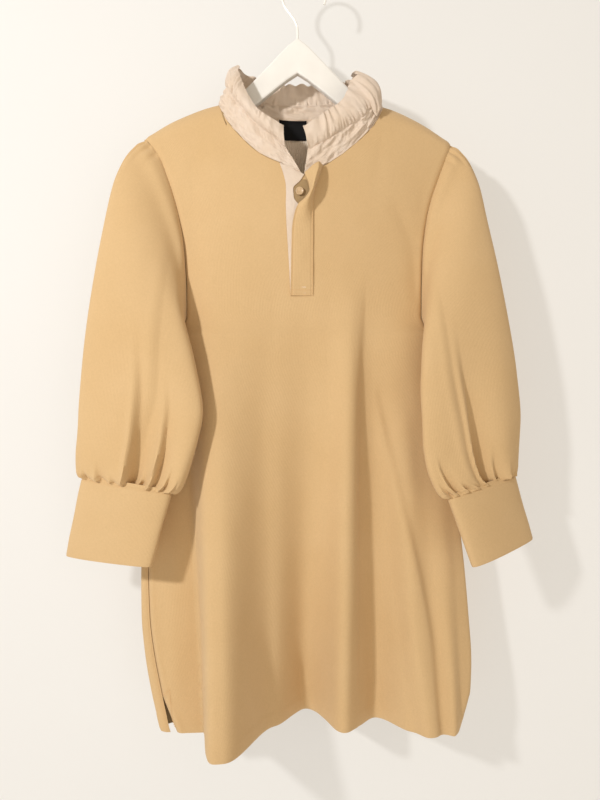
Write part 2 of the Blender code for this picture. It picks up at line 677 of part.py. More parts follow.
def neckline(panels, kind):
    """Top edge of the panels round the neck, from the right of the centre front to its left."""
    front_x = np.array(FRONT_X, dtype=float)
    back_x = np.array(BACK_X, dtype=float)[::-1]
    front = panels["front" + kind][0]
    back = panels["back" + kind][0]
    centre = int(np.argmin(np.abs(front_x)))
    right = int(np.argmin(np.abs(front_x - RIGHT_NECK)))
    left = int(np.argmin(np.abs(front_x - LEFT_NECK)))
    back_right = int(np.argmin(np.abs(back_x - RIGHT_NECK)))
    back_left = int(np.argmin(np.abs(back_x - LEFT_NECK)))
    right_corner = (front[right] + back[back_right]) / 2
    left_corner = (front[left] + back[back_left]) / 2
    start = blend(front[centre], front[centre + 1], COLLAR_FRONT_GAP / (front_x[centre + 1] - front_x[centre]))
    end = blend(front[centre], front[centre - 1], COLLAR_FRONT_GAP / (front_x[centre] - front_x[centre - 1]))
    return np.array([start, *front[centre + 1:right], right_corner, *back[back_right + 1:back_left],
                     left_corner, *front[left + 1:centre], end])


def square_to(rise, edge):
    """Directions of a rise with what runs along the edge taken out."""
    tangent = unit(np.gradient(edge, axis=0))
    return unit(rise - tangent * (rise * tangent).sum(axis=1, keepdims=True))


def add_collar(panels):
    seam = neckline(panels, "")
    seam_inner = neckline(panels, "_inner")
    steps = np.linalg.norm(np.diff(seam, axis=0), axis=1)
    along = np.concatenate([[0], np.cumsum(steps)]) / steps.sum()
    band_rise = np.stack([read(COLLAR, "along", "band_" + axis, along) for axis in "xyz"], axis=1)
    frill_rise = np.stack([read(COLLAR, "along", "frill_" + axis, along) for axis in "xyz"], axis=1)
    lift = square_to(band_rise, seam) * (SEAM_GAP + COLLAR_EASE)
    base = seam + lift
    band = np.array([base + band_rise * level for level in BAND_LEVELS])
    band[1:3] += normals_of(band)[1:3] * BAND_BELLY
    normals = normals_of(band)
    band_inner = band - normals * COTTON_WALL
    band_inner[-1] = seam + (seam_inner - seam) * (COTTON_WALL / TERRY_WALL) + lift
    add_wall("collar_band", band, band_inner, "cream_cotton")

    finer = []
    for place, step in enumerate(steps):
        parts = max(1, round(step / FRILL_STEP))
        finer.extend(place + np.arange(parts) / parts)
    finer = np.array(finer + [len(steps)])
    foot, rise, facing = (sample(np.array([line, line]), np.zeros_like(finer), finer)
                          for line in (band[0], frill_rise, normals[0]))
    facing = unit(facing)
    foot = foot + square_to(rise, foot) * (SEAM_GAP + COLLAR_EASE)
    phase = np.interp(finer, np.arange(len(seam)), along) * FRILL_WAVES * 2 * math.pi
    uneven = 0.7 + 0.3 * np.sin(phase * 0.21 + 0.8)
    room = np.linalg.norm(np.gradient(foot + rise, axis=0), axis=1) / FRILL_FREE_STEP
    wave = (np.cos(phase) * uneven * FRILL_WAVE_HEIGHT * np.clip(room, 0, 1) ** 1.5)[:, None] * facing
    frill = np.array([foot + rise + wave, foot + rise * FRILL_MIDDLE + wave * FRILL_MIDDLE_WAVE, foot])
    frill_normals = normals_of(frill)
    frill_normals[-1] = facing
    add_wall("collar_frill", frill, frill - frill_normals * FRILL_WALL, "cream_cotton")


# ---------------------------------------------------------------- placket, button, label

def place_of(columns_x, x):
    return float(np.interp(x, np.array(columns_x, dtype=float), np.arange(len(columns_x))))


def raised_row(panels, row, columns_x, lifts):
    """One row of the front's points, moved out by its lifts."""
    places = np.array([place_of(FRONT_X, x) for x in columns_x])
    points = sample(panels["front"], np.full(len(places), row), places)
    facing = unit(sample(panels["front_normals"], np.full(len(places), row), places))
    return points + facing * np.array(lifts)[:, None]


def add_placket(panels):
    rows = column(PLACKET_OVER, "row")
    base_lift = SEAM_GAP + COTTON_WALL
    level = [base_lift] * len(PLACKET_UNDER_X)
    under = np.array([raised_row(panels, row, PLACKET_UNDER_X, level) for row in rows])
    add_wall("placket_under", under, under - normals_of(under) * COTTON_WALL, "cream_cotton")

    over_lift = base_lift + SEAM_GAP + TERRY_WALL
    over = []
    for row, free_x, sewn_x, lift in PLACKET_OVER["rows"]:
        across = [blend(free_x, sewn_x, share) for share in PLACKET_OVER_ACROSS]
        lifts = [over_lift + lift * share for share in PLACKET_OVER_LIFTS]
        over.append(raised_row(panels, row, across, lifts))
    over = np.array(over)
    add_wall("placket_over", over, over - normals_of(over) * TERRY_WALL, "terry")


def add_button(panels):
    x, z = BUTTON_PLACE
    place = place_of(FRONT_X, x)
    rows = np.arange(len(UPPER_ROWS) - 1.0)
    heights = sample(panels["front"], rows, np.full(len(rows), place))[:, 2]
    row = float(np.interp(-z, -heights, rows))
    centre = sample(panels["front"], row, place)
    facing = unit(sample(panels["front_normals"], row, place))
    side = unit(np.cross(facing, np.array([0, 0, 1.0])))
    up = unit(np.cross(side, facing))
    foot = SEAM_GAP + COTTON_WALL + SEAM_GAP + BUTTON_LIFT
    sides = BUTTON_SIDES
    levels = len(BUTTON["rows"])
    vertices = []
    faces = []
    for radius, height in BUTTON["rows"]:
        middle = centre + facing * (foot + height)
        for step in range(sides):
            angle = 2 * math.pi * step / sides
            vertices.append(middle + radius * (math.cos(angle) * side + math.sin(angle) * up))
    for level in range(levels - 1):
        for step in range(sides):
            after = (step + 1) % sides
            faces.append((level * sides + step, level * sides + after, (level + 1) * sides + after,
                          (level + 1) * sides + step))
    faces.append(tuple(range(sides)))
    faces.append(tuple(range((levels - 1) * sides, levels * sides)))
    add_object("button", np.array(vertices), faces, "button_horn")


def add_label(panels):
    """Label that hangs inside the back from the neck seam, made from the back's inner points."""
    back_x = np.array(BACK_X, dtype=float)[::-1]
    inner = panels["back_inner"]
    normals = panels["back_normals"]
    xs = LABEL_MIDDLE_X + LABEL_WIDTH * np.linspace(0.5, -0.5, LABEL_CELLS)
    places = np.interp(-xs, -back_x, np.arange(len(back_x)))
    rows = np.arange(4.0)       # the back's first rows, which reach further down than the label
    grid = []
    for drop in np.linspace(LABEL_DROP, LABEL_HEIGHT, LABEL_CELLS):
        points = []
        for place in places:
            heights = sample(inner, rows, np.full(len(rows), place))[:, 2]
            row = float(np.interp(drop, heights[0] - heights, rows))
            facing = unit(sample(normals, row, place))
            points.append(sample(inner, row, place) - facing * LABEL_GAP)
        grid.append(points)
    outer = np.array(grid)
    add_wall("neck_label", outer, outer - normals_of(outer) * LABEL_WALL, "label_satin")


# ---------------------------------------------------------------- hanger

def add_hanger():
    out = column(HANGER, "out")
    fine = np.concatenate([np.linspace(0, out[-3], HANGER_CELLS), out[-2:]])
    top = smooth(out, column(HANGER, "top"), fine)
    bottom = smooth(out, column(HANGER, "bottom"), fine)
    right = [(HOOK_FOOT_X + x, z) for x, z in zip(fine, top)]
    left = [(HOOK_FOOT_X - x, z) for x, z in zip(fine[1:], top[1:])]
    low_right = [(HOOK_FOOT_X + x, z) for x, z in zip(fine, bottom)]
    low_left = [(HOOK_FOOT_X - x, z) for x, z in zip(fine[1:], bottom[1:])]
    outline = left[::-1] + right + low_right[::-1] + low_left
    shape = bmesh.new()
    ring = [shape.verts.new((x * MM, -HANGER_DEPTH / 2 * MM, z * MM)) for x, z in outline]
    face = shape.faces.new(ring)
    made = bmesh.ops.extrude_face_region(shape, geom=[face])
    moved = [part for part in made["geom"] if isinstance(part, bmesh.types.BMVert)]
    bmesh.ops.translate(shape, verts=moved, vec=(0, HANGER_DEPTH * MM, 0))
    bmesh.ops.recalc_face_normals(shape, faces=shape.faces)
    edges = [edge for edge in shape.edges if abs(edge.verts[0].co.y - edge.verts[1].co.y) < 1e-9]
    bmesh.ops.bevel(shape, geom=edges, offset=HANGER_EDGE * MM, segments=2, affect="EDGES", profile=0.5)
    bmesh.ops.triangulate(shape, faces=shape.faces)
    mesh = bpy.data.meshes.new("hanger_body")
    shape.to_mesh(mesh)
    shape.free()
    mesh.materials.append(material("white_lacquer"))
    mesh.shade_smooth()
    mesh.set_sharp_from_angle(angle=math.radians(40))
    bpy.context.scene.collection.objects.link(bpy.data.objects.new("hanger_body", mesh))


def hook_points():
    """Centre line of the wire: up from the hanger, out to the left, then over the top to the tip."""
    centre_z = HOOK_WIRE / 2 - HOOK_RADIUS
    arc = np.radians(np.linspace(*HOOK_ARC, HOOK_ARC_CELLS))
    bend = list(HOOK_BEND["rows"])
    circle = [(HOOK_RADIUS * math.cos(angle), centre_z + HOOK_RADIUS * math.sin(angle)) for angle in arc]
    return bend + circle


def add_hook():
    points = hook_points()
    wire = bpy.data.curves.new("hanger_hook", "CURVE")
    wire.dimensions = "3D"
    wire.bevel_depth = HOOK_WIRE / 2 * MM
    wire.bevel_resolution = 2
    wire.use_fill_caps = True
    spline = wire.splines.new("POLY")
    spline.points.add(len(points) - 1)
    for point, (x, z) in zip(spline.points, points):
        point.co = (x * MM, 0, z * MM, 1)
    wire.materials.append(material("white_wire"))
    bpy.context.scene.collection.objects.link(bpy.data.objects.new("hanger_hook", wire))


def build():
    for old in list(bpy.data.objects):
        bpy.data.objects.remove(old, do_unlink=True)
    panels = body_panels()
    add_sleeve_and_cuff(panels, "left", LEFT_SLEEVE, LEFT_CREASES, LEFT_CUFF_FOOT)
    add_sleeve_and_cuff(panels, "right", RIGHT_SLEEVE, RIGHT_CREASES, RIGHT_CUFF_FOOT)
    add_collar(panels)
    add_placket(panels)
    add_button(panels)
    add_label(panels)
    add_hanger()
    add_hook()


build()
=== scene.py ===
"""Looks of the french terry dress on its hanger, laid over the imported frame.

Tables and lengths are in millimetres, and the lights and the camera are in metres, as Blender is. +Z is
up and the dress's front faces -Y. The origin is the inside of the top of the hanger's hook.
"""

import math

import bpy
import numpy as np
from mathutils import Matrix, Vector


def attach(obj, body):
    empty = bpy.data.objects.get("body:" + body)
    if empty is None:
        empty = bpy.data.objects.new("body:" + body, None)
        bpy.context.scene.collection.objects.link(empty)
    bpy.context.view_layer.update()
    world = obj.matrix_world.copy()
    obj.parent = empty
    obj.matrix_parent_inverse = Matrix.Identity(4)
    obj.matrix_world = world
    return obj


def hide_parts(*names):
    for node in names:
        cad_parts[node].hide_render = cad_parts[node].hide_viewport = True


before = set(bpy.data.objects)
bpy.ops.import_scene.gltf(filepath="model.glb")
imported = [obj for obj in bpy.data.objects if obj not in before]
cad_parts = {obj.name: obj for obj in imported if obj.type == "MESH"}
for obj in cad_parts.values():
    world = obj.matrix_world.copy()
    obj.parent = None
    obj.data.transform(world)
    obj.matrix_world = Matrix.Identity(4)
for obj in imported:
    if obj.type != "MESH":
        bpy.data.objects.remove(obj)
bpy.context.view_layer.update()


def table(names, rows):
    return dict(zip(names.split(), np.array(rows, dtype=float).T))


MM = 0.001
BODY_NAME = "root"
SHARP_ANGLE = math.radians(60)

TERRY_WALL = 1.8
COTTON_WALL = 1.0
THIN_COTTON_WALL = 0.8
OVERLAP_WALL = 1.5
LABEL_WALL = 0.5

UNDERARM_Z = -512.0
ARMHOLE_TIP_Z = -233.0
HEM_Z = -1055.0
VENT_TOP_Z = -1010.0
PLACKET_FOOT_Z = -460.0
LEFT_TIP = -226.0
RIGHT_TIP = 208.0
LEFT_NECK = -122.0
RIGHT_NECK = 113.0
SIDE_ROUNDING = 2.4
BACK_ARMHOLE_EASE = 14.0

SHOULDER = table("x z softness", (
    (-226, -233, 18), (-180, -207, 22), (-122, -186, 30), (-60, -177, 34), (-9, -174, 34),
    (45, -178, 34), (113, -189, 30), (157, -208, 22), (208, -240, 18),
))
NECK_FRONT = table("x z", (
    (-122, -186), (-113, -207), (-90, -238), (-59, -267), (-29, -282), (0, -296), (15, -290),
    (32, -281), (67, -254), (98, -220), (113, -189),
))
NECK_BACK = table("x z", (
    (-122, -186), (-95, -188), (-60, -193), (-9, -197), (45, -195), (86, -191), (113, -189),
))
ARMHOLE = table("z left right", (
    (-233, -226, 208), (-264, -203, 197), (-289, -193, 188), (-319, -183, 178), (-346, -176, 172),
    (-378, -170, 168), (-408, -167, 166), (-450, -165, 165), (-484, -165, 165), (-499, -170, 170),
    (-508, -178, 177), (-512, -187, 185),
))
BODY = table("z left right seam middle front back", (
    (-190, -226, 208, 0, 0, 28, 26),
    (-240, -226, 208, 0, 0, 37, 29),
    (-296, -210, 200, 0, 0, 44, 32),
    (-400, -190, 190, 0, 0, 38, 32),
    (-512, -187, 185, -1, 0, 33, 32),
    (-604, -197, 197, 4, 0, 30, 32),
    (-720, -217, 214, 4, 0, 29, 33),
    (-843, -231, 228, -3, 0, 28, 35),
    (-907, -229, 232, -10, -1, 27, 37),
    (-955, -223, 234, -17, -2, 25, 39),
    (-1001, -213, 231, -26, -3, 22, 42),
    (-1055, -197, 215, -38, -5, 20, 45),
))
FOLD_COLUMNS = "start_z start_x hem_x height start_left start_right hem_left hem_right growth blunt"
FRONT_FOLDS = table(FOLD_COLUMNS, (
    (-300, -132, -101, 86, 60, 95, 36, 64, 1.6, 2.6),
    (-300, 4, 2, -50, 60, 70, 44, 44, 1.9, 1),
    (-440, 66, 53, 19, 34, 22, 26, 26, 0.7, 1),
    (-450, 98, 103, -34, 34, 60, 30, 46, 1, 1),
    (-600, 122, 167, 14, 30, 40, 22, 30, 0.9, 1),
    (-700, 190, 203, 12, 30, 20, 22, 14, 1, 1),
))
BACK_FOLDS = table(FOLD_COLUMNS, (
    (-330, 120, 128, 18, 70, 60, 40, 46, 1.3, 1),
    (-420, 60, 66, -12, 50, 50, 30, 34, 1.2, 1),
    (-300, 5, 0, 14, 70, 80, 44, 40, 1.2, 1),
    (-520, -62, -66, -13, 50, 50, 32, 30, 1, 1),
    (-450, -125, -118, 17, 60, 60, 38, 44, 1.3, 1),
))

# How far round onto the front the left side seam lies: share of the body's width
SIDE_SEAM = table("z left", (
    (-540, 0.0), (-640, 0.006), (-720, 0.014), (-843, 0.024), (-930, 0.03), (-1010, 0.036),
    (-1055, 0.036),
))

# Creases pressed into the front and the back: points down the line (x, z), height (+ is outwards), width
# to its left and right, length of the fade at its ends
FRONT_CREASES = (
    (((86, -467), (81, -631), (80, -840), (79, -1055)), -3.4, 5, 24, 150),
    (((62, -520), (60, -700), (58, -1055)), 2.2, 16, 12, 120),
    (((99, -598), (138, -770), (159, -858), (174, -958), (178, -1055)), 2.6, 12, 7, 90),
    (((108, -598), (147, -770), (168, -858), (184, -958), (188, -1055)), -2.2, 7, 12, 90),
    (((-128, -420), (-124, -600), (-112, -800), (-100, -1055)), 2, 18, 22, 150),
    (((-35, -420), (-50, -598), (-60, -730), (-70, -862), (-86, -994)), -1.6, 20, 26, 120),
    (((10, -560), (12, -700), (16, -860)), -1.3, 18, 18, 110),
    (((-170, -560), (-176, -700), (-182, -900), (-178, -1040)), 1.6, 14, 16, 110),
    (((-152, -620), (-150, -800), (-146, -960)), -1.4, 12, 14, 100),
    (((125, -330), (150, -390), (160, -470)), -1.6, 10, 14, 50),
    (((140, -560), (156, -660), (176, -740)), -1.2, 14, 16, 60),
    (((200, -800), (208, -900), (206, -1020)), 1.3, 8, 10, 60),
    (((-20, -960), (-14, -1010), (-10, -1055)), 1.6, 9, 10, 40),
    (((22, -950), (20, -1000), (18, -1055)), -1.5, 10, 10, 50),
    (((-150, -250), (-154, -330), (-150, -410)), -1.3, 12, 18, 50),
)
BACK_CREASES = (
    (((120, -420), (126, -640), (131, -1055)), 2.2, 14, 20, 120),
    (((84, -520), (90, -760), (96, -1055)), -2, 12, 16, 120),
    (((20, -440), (4, -700), (-4, -1055)), 1.8, 20, 14, 140),
    (((-44, -560), (-52, -800), (-60, -1055)), -1.9, 14, 12, 110),
    (((-120, -480), (-124, -720), (-118, -1055)), 2.2, 18, 14, 120),
    (((-168, -600), (-176, -800), (-172, -1020)), -1.5, 12, 12, 90),
    (((150, -330), (158, -420), (166, -500)), -1.5, 12, 14, 50),
    (((-150, -330), (-160, -420), (-168, -500)), -1.5, 14, 12, 50),
    (((60, -260), (40, -330), (30, -420)), -0.9, 20, 20, 60),
    (((-70, -260), (-52, -340), (-44, -430)), -0.9, 20, 20, 60),
)

SLEEVE_COLUMNS = "outer_x outer_y outer_z inner_x inner_y inner_z depth armhole"
LEFT_SLEEVE = table(SLEEVE_COLUMNS, (
    (-226, 0, -233, -165, -13, -476, 20, 1),
    (-246, -9, -252, -166, -27, -488, 18, 0.75),
    (-262, -16, -290, -163, -40, -500, 20, 0.5),
    (-275, -23, -350, -157, -50, -518, 21, 0.3),
    (-287, -31, -425, -149, -58, -548, 20, 0.12),
    (-297, -36, -500, -141, -64, -587, 19, 0.0),
    (-304, -37, -565, -137, -67, -620, 18, 0.0),
    (-309, -37, -625, -142, -68, -654, 18, 0.0),
    (-311, -37, -670, -152, -69, -690, 17, 0.0),
    (-308, -36, -702, -166, -69, -719, 15, 0.0),
    (-303, -36, -710, -177, -69, -727, 13, 0.0),
))
RIGHT_SLEEVE = table(SLEEVE_COLUMNS, (
    (208, 0, -240, 165, -13, -476, 20, 1),
    (226, -9, -258, 166, -27, -488, 18, 0.75),
    (241, -16, -296, 164, -41, -500, 20, 0.5),
    (253, -22, -353, 161, -52, -518, 21, 0.3),
    (267, -28, -422, 158, -61, -548, 20, 0.12),
    (281, -31, -500, 156, -67, -588, 19, 0.0),
    (291, -32, -565, 157, -71, -625, 18, 0.0),
    (297, -32, -628, 158, -74, -662, 18, 0.0),
    (294, -31, -672, 163, -77, -694, 17, 0.0),
    (290, -30, -700, 177, -80, -722, 15, 0.0),
    (288, -30, -707, 189, -82, -732, 13, 0.0),
))
# Rows of the armhole that the sleeve's ring walks down: shares of its height
ARMHOLE_WALK = (0, 0.035, 0.085, 0.15, 0.25, 0.36, 0.48, 0.6, 0.753, 0.87, 0.95, 0.985, 1)
FOLD_STEP = 9
FOOT_SHARE = 5 / 48
SLEEVE_RINGS = 150
SLEEVE_SIDES = 208

# Creases round the sleeves: place round the ring at the top and at the foot (0 outer edge, 0.25 front, 0.5
# inner edge, 0.75 back), share of the sleeve where it starts, depth at the foot, half width at the top and
# the foot
LEFT_CREASES = (
    (0.35, 0.262, 0.06, 2.2, 0.055, 0.035), (0.255, 0.268, 0.42, 7.6, 0.032, 0.018),
    (0.335, 0.352, 0.5, 6.6, 0.03, 0.015), (0.165, 0.178, 0.82, 4.2, 0.018, 0.011),
    (0.215, 0.222, 0.86, 3, 0.016, 0.01), (0.3, 0.31, 0.8, 3.6, 0.018, 0.011),
    (0.4, 0.405, 0.78, 4, 0.018, 0.012), (0.09, 0.1, 0.86, 3.2, 0.018, 0.012),
    (0.45, 0.452, 0.84, 3, 0.016, 0.012), (0.56, 0.565, 0.7, 4.4, 0.024, 0.013),
    (0.64, 0.645, 0.6, 5.2, 0.028, 0.014), (0.72, 0.715, 0.74, 4.2, 0.022, 0.012),
    (0.8, 0.79, 0.55, 5.6, 0.03, 0.014), (0.87, 0.865, 0.8, 3.6, 0.018, 0.011),
    (0.94, 0.935, 0.72, 4, 0.022, 0.012),
)
RIGHT_CREASES = (
    (0.36, 0.262, 0.05, 1.8, 0.05, 0.035), (0.292, 0.236, 0.38, 7.4, 0.032, 0.017),
    (0.202, 0.192, 0.74, 4.6, 0.022, 0.012), (0.345, 0.34, 0.86, 3.8, 0.016, 0.011),
    (0.3, 0.29, 0.88, 3.2, 0.014, 0.01), (0.405, 0.4, 0.74, 4.6, 0.022, 0.012),
    (0.13, 0.138, 0.82, 3.8, 0.018, 0.011), (0.06, 0.072, 0.86, 3.2, 0.018, 0.011),
    (0.455, 0.455, 0.84, 3, 0.016, 0.012), (0.555, 0.56, 0.7, 4.4, 0.024, 0.013),
    (0.63, 0.635, 0.58, 5.4, 0.028, 0.014), (0.71, 0.705, 0.76, 4, 0.022, 0.012),
    (0.79, 0.78, 0.52, 5.8, 0.03, 0.014), (0.86, 0.86, 0.8, 3.6, 0.018, 0.011),
    (0.94, 0.93, 0.72, 4.2, 0.022, 0.012),
)
CREASE_END = 1.02
CREASE_DEPTH = 2.1
STEEP_SIDE = 0.34
GENTLE_SIDE = 2.0
GATHERS = 31
GATHER_HEIGHT = 1.9
# Puckers where the cap is eased into the armhole: place round the ring, depth, length as a share of the
# sleeve
CAP_PUCKERS = (
    (0.03, 2.6, 0.24), (0.075, 1.8, 0.15), (0.12, 1.4, 0.1), (0.965, 2, 0.2), (0.92, 1.5, 0.12),
    (0.0, 1.6, 0.3),
)
PUCKER_DEPTH = 1.5

LEFT_CUFF_FOOT = {"outer": (-325, -37, -817), "inner": (-203, -72, -824)}
RIGHT_CUFF_FOOT = {"outer": (313, -31, -795), "inner": (220, -86, -821)}
CUFF_FOOT_DEPTH = 11
CUFF_SIDES = 112

COLLAR = table("along band_x band_y band_z frill_x frill_y frill_z", (
    (0.0, 5, -5, 33, -6, -5, 30),
    (0.064, 3, -4, 34, -6, -8, 33),
    (0.137, -1, -6, 27, -17, -10, 27),
    (0.172, -2, -9, 22, -22, -8, 31),
    (0.218, -6, -8, 20, -26, -2, 36),
    (0.281, -14, -3, 22, -26, 2, 29),
    (0.328, -11, 6, 24, -14, 10, 30),
    (0.405, 0, 7, 24, 0, 9, 32),
    (0.496, 0, 5, 24, 0, 10, 33),
    (0.581, 3, 7, 24, 3, 10, 32),
    (0.652, 10, 6, 25, 9, 9, 31),
    (0.7, 12, -2, 26, 12, 2, 32),
    (0.755, 12, -6, 26, 9, -2, 30),
    (0.822, 5, -5, 34, 5, -6, 22),
    (0.894, -3, -4, 37, -1, -11, 19),
    (0.95, -14, -5, 37, -3, -12, 20),
    (1, -23, -5, 36, -2, -6, 27),
))
COLLAR_COLUMNS = 560
COLLAR_ROWS = 44
BAND_HEIGHT = 34
# Where the frill's box fold starts and ends, as shares of the way round the neck
BOX_FOLD = (0.203, 0.266)
BOX_FOLD_EDGE = 0.008

# Underlap of the placket, top to foot: left edge, right edge, and how far right the strip of painted shade
# beside it reaches
PLACKET_UNDER = table("share left right seam", (
    (0, -33.5, 0, 1), (0.06, -29, -6, 4), (0.15, -25, -15, 7), (0.22, -24.6, -14, 6),
    (0.28, -25, -4, 4), (0.4, -24.5, 2, 4), (0.7, -21.5, 2, 4), (1, -18.7, 2, 4),
))
# Overlap, top to foot: its free and its sewn edge, how far the free edge stands off, the height of the
# roll between them and where across the strip its crest lies
PLACKET_OVER = table("share free_x sewn_x lift roll crest", (
    (0, 0.5, 26, 2, 11, 0.8), (0.05, 4, 22, 3.5, 14, 0.75), (0.1, 6.5, 18.5, 5.5, 15, 0.7),
    (0.15, 7.2, 15.5, 7, 14, 0.66), (0.2, 1.5, 13.6, 6.5, 12, 0.6), (0.26, -8, 12.8, 4.4, 9, 0.6),
    (0.34, -13, 12.3, 2.2, 4.5, 0.55), (0.47, -16.5, 12.3, 0.7, 1.2, 0.5),
    (0.7, -17.6, 12.3, 0.2, 0.5, 0.5), (1, -18.6, 12.5, 0, 0, 0.5),
))
PLACKET_ROWS = 90
UNDER_COLUMNS = 18
SHADE_STRIP_COLUMNS = 14
OVER_COLUMNS = 34
PLACKET_LENGTH = 160

BUTTON_SIDES = 40
# Turned rim, side and dished face of the button: radius and height
BUTTON_PROFILE = (
    (0, 0), (4.6, 0), (5.3, 0.35), (5.6, 1), (5.6, 1.6), (5.3, 2.2), (4.8, 2.45), (4.2, 2.4), (3.7, 2),
    (2.8, 1.75), (0, 1.7),
)


# ---------------- numbers

def smooth(keys, values, at):
    """Cubic through the keys that never overshoots between them."""
    if keys[0] > keys[-1]:
        keys = keys[::-1]
        values = values[::-1]
    steps = np.diff(keys)
    slopes = np.diff(values) / steps
    tangents = np.zeros(len(keys))
    tangents[0] = slopes[0]
    tangents[-1] = slopes[-1]
    same_way = slopes[:-1] * slopes[1:] > 0
    pair = np.where(same_way, slopes[:-1] + slopes[1:], 1.0)
    tangents[1:-1] = np.where(same_way, 2 * slopes[:-1] * slopes[1:] / pair, 0.0)
    at = np.clip(at, keys[0], keys[-1])
    place = np.clip(np.searchsorted(keys, at) - 1, 0, len(keys) - 2)
    step = steps[place]
    s = (at - keys[place]) / step
    ends = (2 * s**3 - 3 * s**2 + 1) * values[place] + (3 * s**2 - 2 * s**3) * values[place + 1]
    bends = (s**3 - 2 * s**2 + s) * tangents[place] + (s**3 - s**2) * tangents[place + 1]
    return ends + step * bends


def read(curves, key, name, at):
    return smooth(curves[key], curves[name], at)


def blend(low, high, share):
    return low + (high - low) * share


def ease(low, high, at):
    share = np.clip((at - low) / (high - low), 0, 1)
    return share * share * (3 - 2 * share)


def unit(vectors):
    return vectors / np.maximum(np.linalg.norm(vectors, axis=-1, keepdims=True), 1e-12)


def hump(off):
    return np.exp(-off ** 2)


def noise(x, y, seed, cells=64):
    """Smooth value noise from -1 to 1 with one lattice cell per unit."""
    lattice = np.random.RandomState(seed).uniform(-1, 1, (cells, cells))
    low_x = np.floor(x).astype(int)
    low_y = np.floor(y).astype(int)
    share_x = ease(0, 1, x - low_x)
    near, far = (blend(lattice[low_x % cells, row], lattice[(low_x + 1) % cells, row], share_x)
                 for row in (low_y % cells, (low_y + 1) % cells))
    return blend(near, far, ease(0, 1, y - low_y))


def normals_of(grid, closed=False):
    down = np.gradient(grid, axis=0)
    if closed:
        across = np.roll(grid, -1, axis=1) - np.roll(grid, 1, axis=1)
    else:
        across = np.gradient(grid, axis=1)
    return unit(np.cross(down, across))


def lengths_along(points):
    steps = np.linalg.norm(np.diff(points, axis=0), axis=1)
    return np.concatenate([[0], np.cumsum(steps)])


def points_at(places, along, points):
    """Points of a line at these places, given how far along it each of its points is."""
    return np.stack([np.interp(places, along, points[:, axis]) for axis in range(3)], axis=-1)


def turns(sides):
    return np.arange(sides) * 2 * math.pi / sides


def grid_corners(rows, columns, closed=False):
    """Numbers of the four corners of every quad in a grid of points, row by row."""
    spans = columns if closed else columns - 1
    row, place = np.meshgrid(np.arange(rows - 1) * columns, np.arange(spans), indexing="ij")
    row, place = row.ravel(), place.ravel()
    after = (place + 1) % columns
    return row + place, row + after, row + columns + after, row + columns + place


# ---------------- pieces

def finish_piece(made, replaced):
    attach(made, BODY_NAME)
    if replaced:
        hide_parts(*replaced)
    return made


def mesh_piece(name, vertices, faces, look, uv=None):
    """Object from points in millimetres and quads as one integer array."""
    faces = faces.astype(np.int32)
    mesh = bpy.data.meshes.new(name)
    mesh.vertices.add(len(vertices))
    mesh.vertices.foreach_set("co", (vertices * MM).ravel())
    mesh.loops.add(faces.size)
    mesh.loops.foreach_set("vertex_index", faces.ravel())
    mesh.polygons.add(len(faces))
    mesh.polygons.foreach_set("loop_start", np.arange(len(faces), dtype=np.int32) * faces.shape[1])
    mesh.update(calc_edges=True)
    mesh.validate()
    if uv is not None:
        layer = mesh.uv_layers.new(name="cloth")
        layer.data.foreach_set("uv", uv[faces.ravel()].ravel())
    mesh.materials.append(materials[look])
    mesh.shade_smooth()
    mesh.set_sharp_from_angle(angle=SHARP_ANGLE)
    made = bpy.data.objects.new(name, mesh)
    bpy.context.scene.collection.objects.link(made)
    return made


def cloth_piece(name, outer, wall, look, replaced, closed=False, inside=None):
    """Thin closed shell: an outer grid, the same grid moved in by the wall, and its rims.

    The inside gives each inner face the number of its material: 1 is terry with painted shade, 2 the pale
    loops with painted light.
    """
    rows, columns, _ = outer.shape
    inner = outer - normals_of(outer, closed) * wall
    vertices = np.concatenate([outer.reshape(-1, 3), inner.reshape(-1, 3)])
    a, b, c, d = grid_corners(rows, columns, closed)
    under = rows * columns
    spans = len(a) // (rows - 1)
    rims = [(a[:spans], b[:spans]), (c[-spans:], d[-spans:])]
    if not closed:
        rims += [(d[::spans], a[::spans]), (b[spans - 1::spans], c[spans - 1::spans])]
    faces = [(a, d, c, b), (under + a, under + b, under + c, under + d)]
    faces += [(first, last, under + last, under + first) for first, last in rims]
    faces = np.concatenate([np.stack(corners, axis=1) for corners in faces])
    across, down = (np.linalg.norm(np.diff(outer, axis=axis, prepend=start), axis=2).cumsum(axis=axis)
                    for axis, start in ((1, outer[:, :1]), (0, outer[:1])))
    flat_uv = np.stack([across, -down], axis=2) * MM
    made = mesh_piece(name, vertices, faces, look, np.concatenate([flat_uv.reshape(-1, 2)] * 2))
    if inside is not None:
        for extra in ("terry_painted_shade", "pale_loops_painted_light"):
            made.data.materials.append(materials[extra])
        chosen = np.zeros(len(made.data.polygons), dtype=np.int32)
        chosen[len(a):2 * len(a)] = inside.ravel()
        made.data.polygons.foreach_set("material_index", chosen)
    return finish_piece(made, replaced)


# One stitch from end to end: share of its length and thickness
STITCH_PROFILE = ((0.0, 0.35), (0.22, 0.95), (0.5, 1.15), (0.78, 0.95), (1.0, 0.35))
STITCH_SIDES = 5


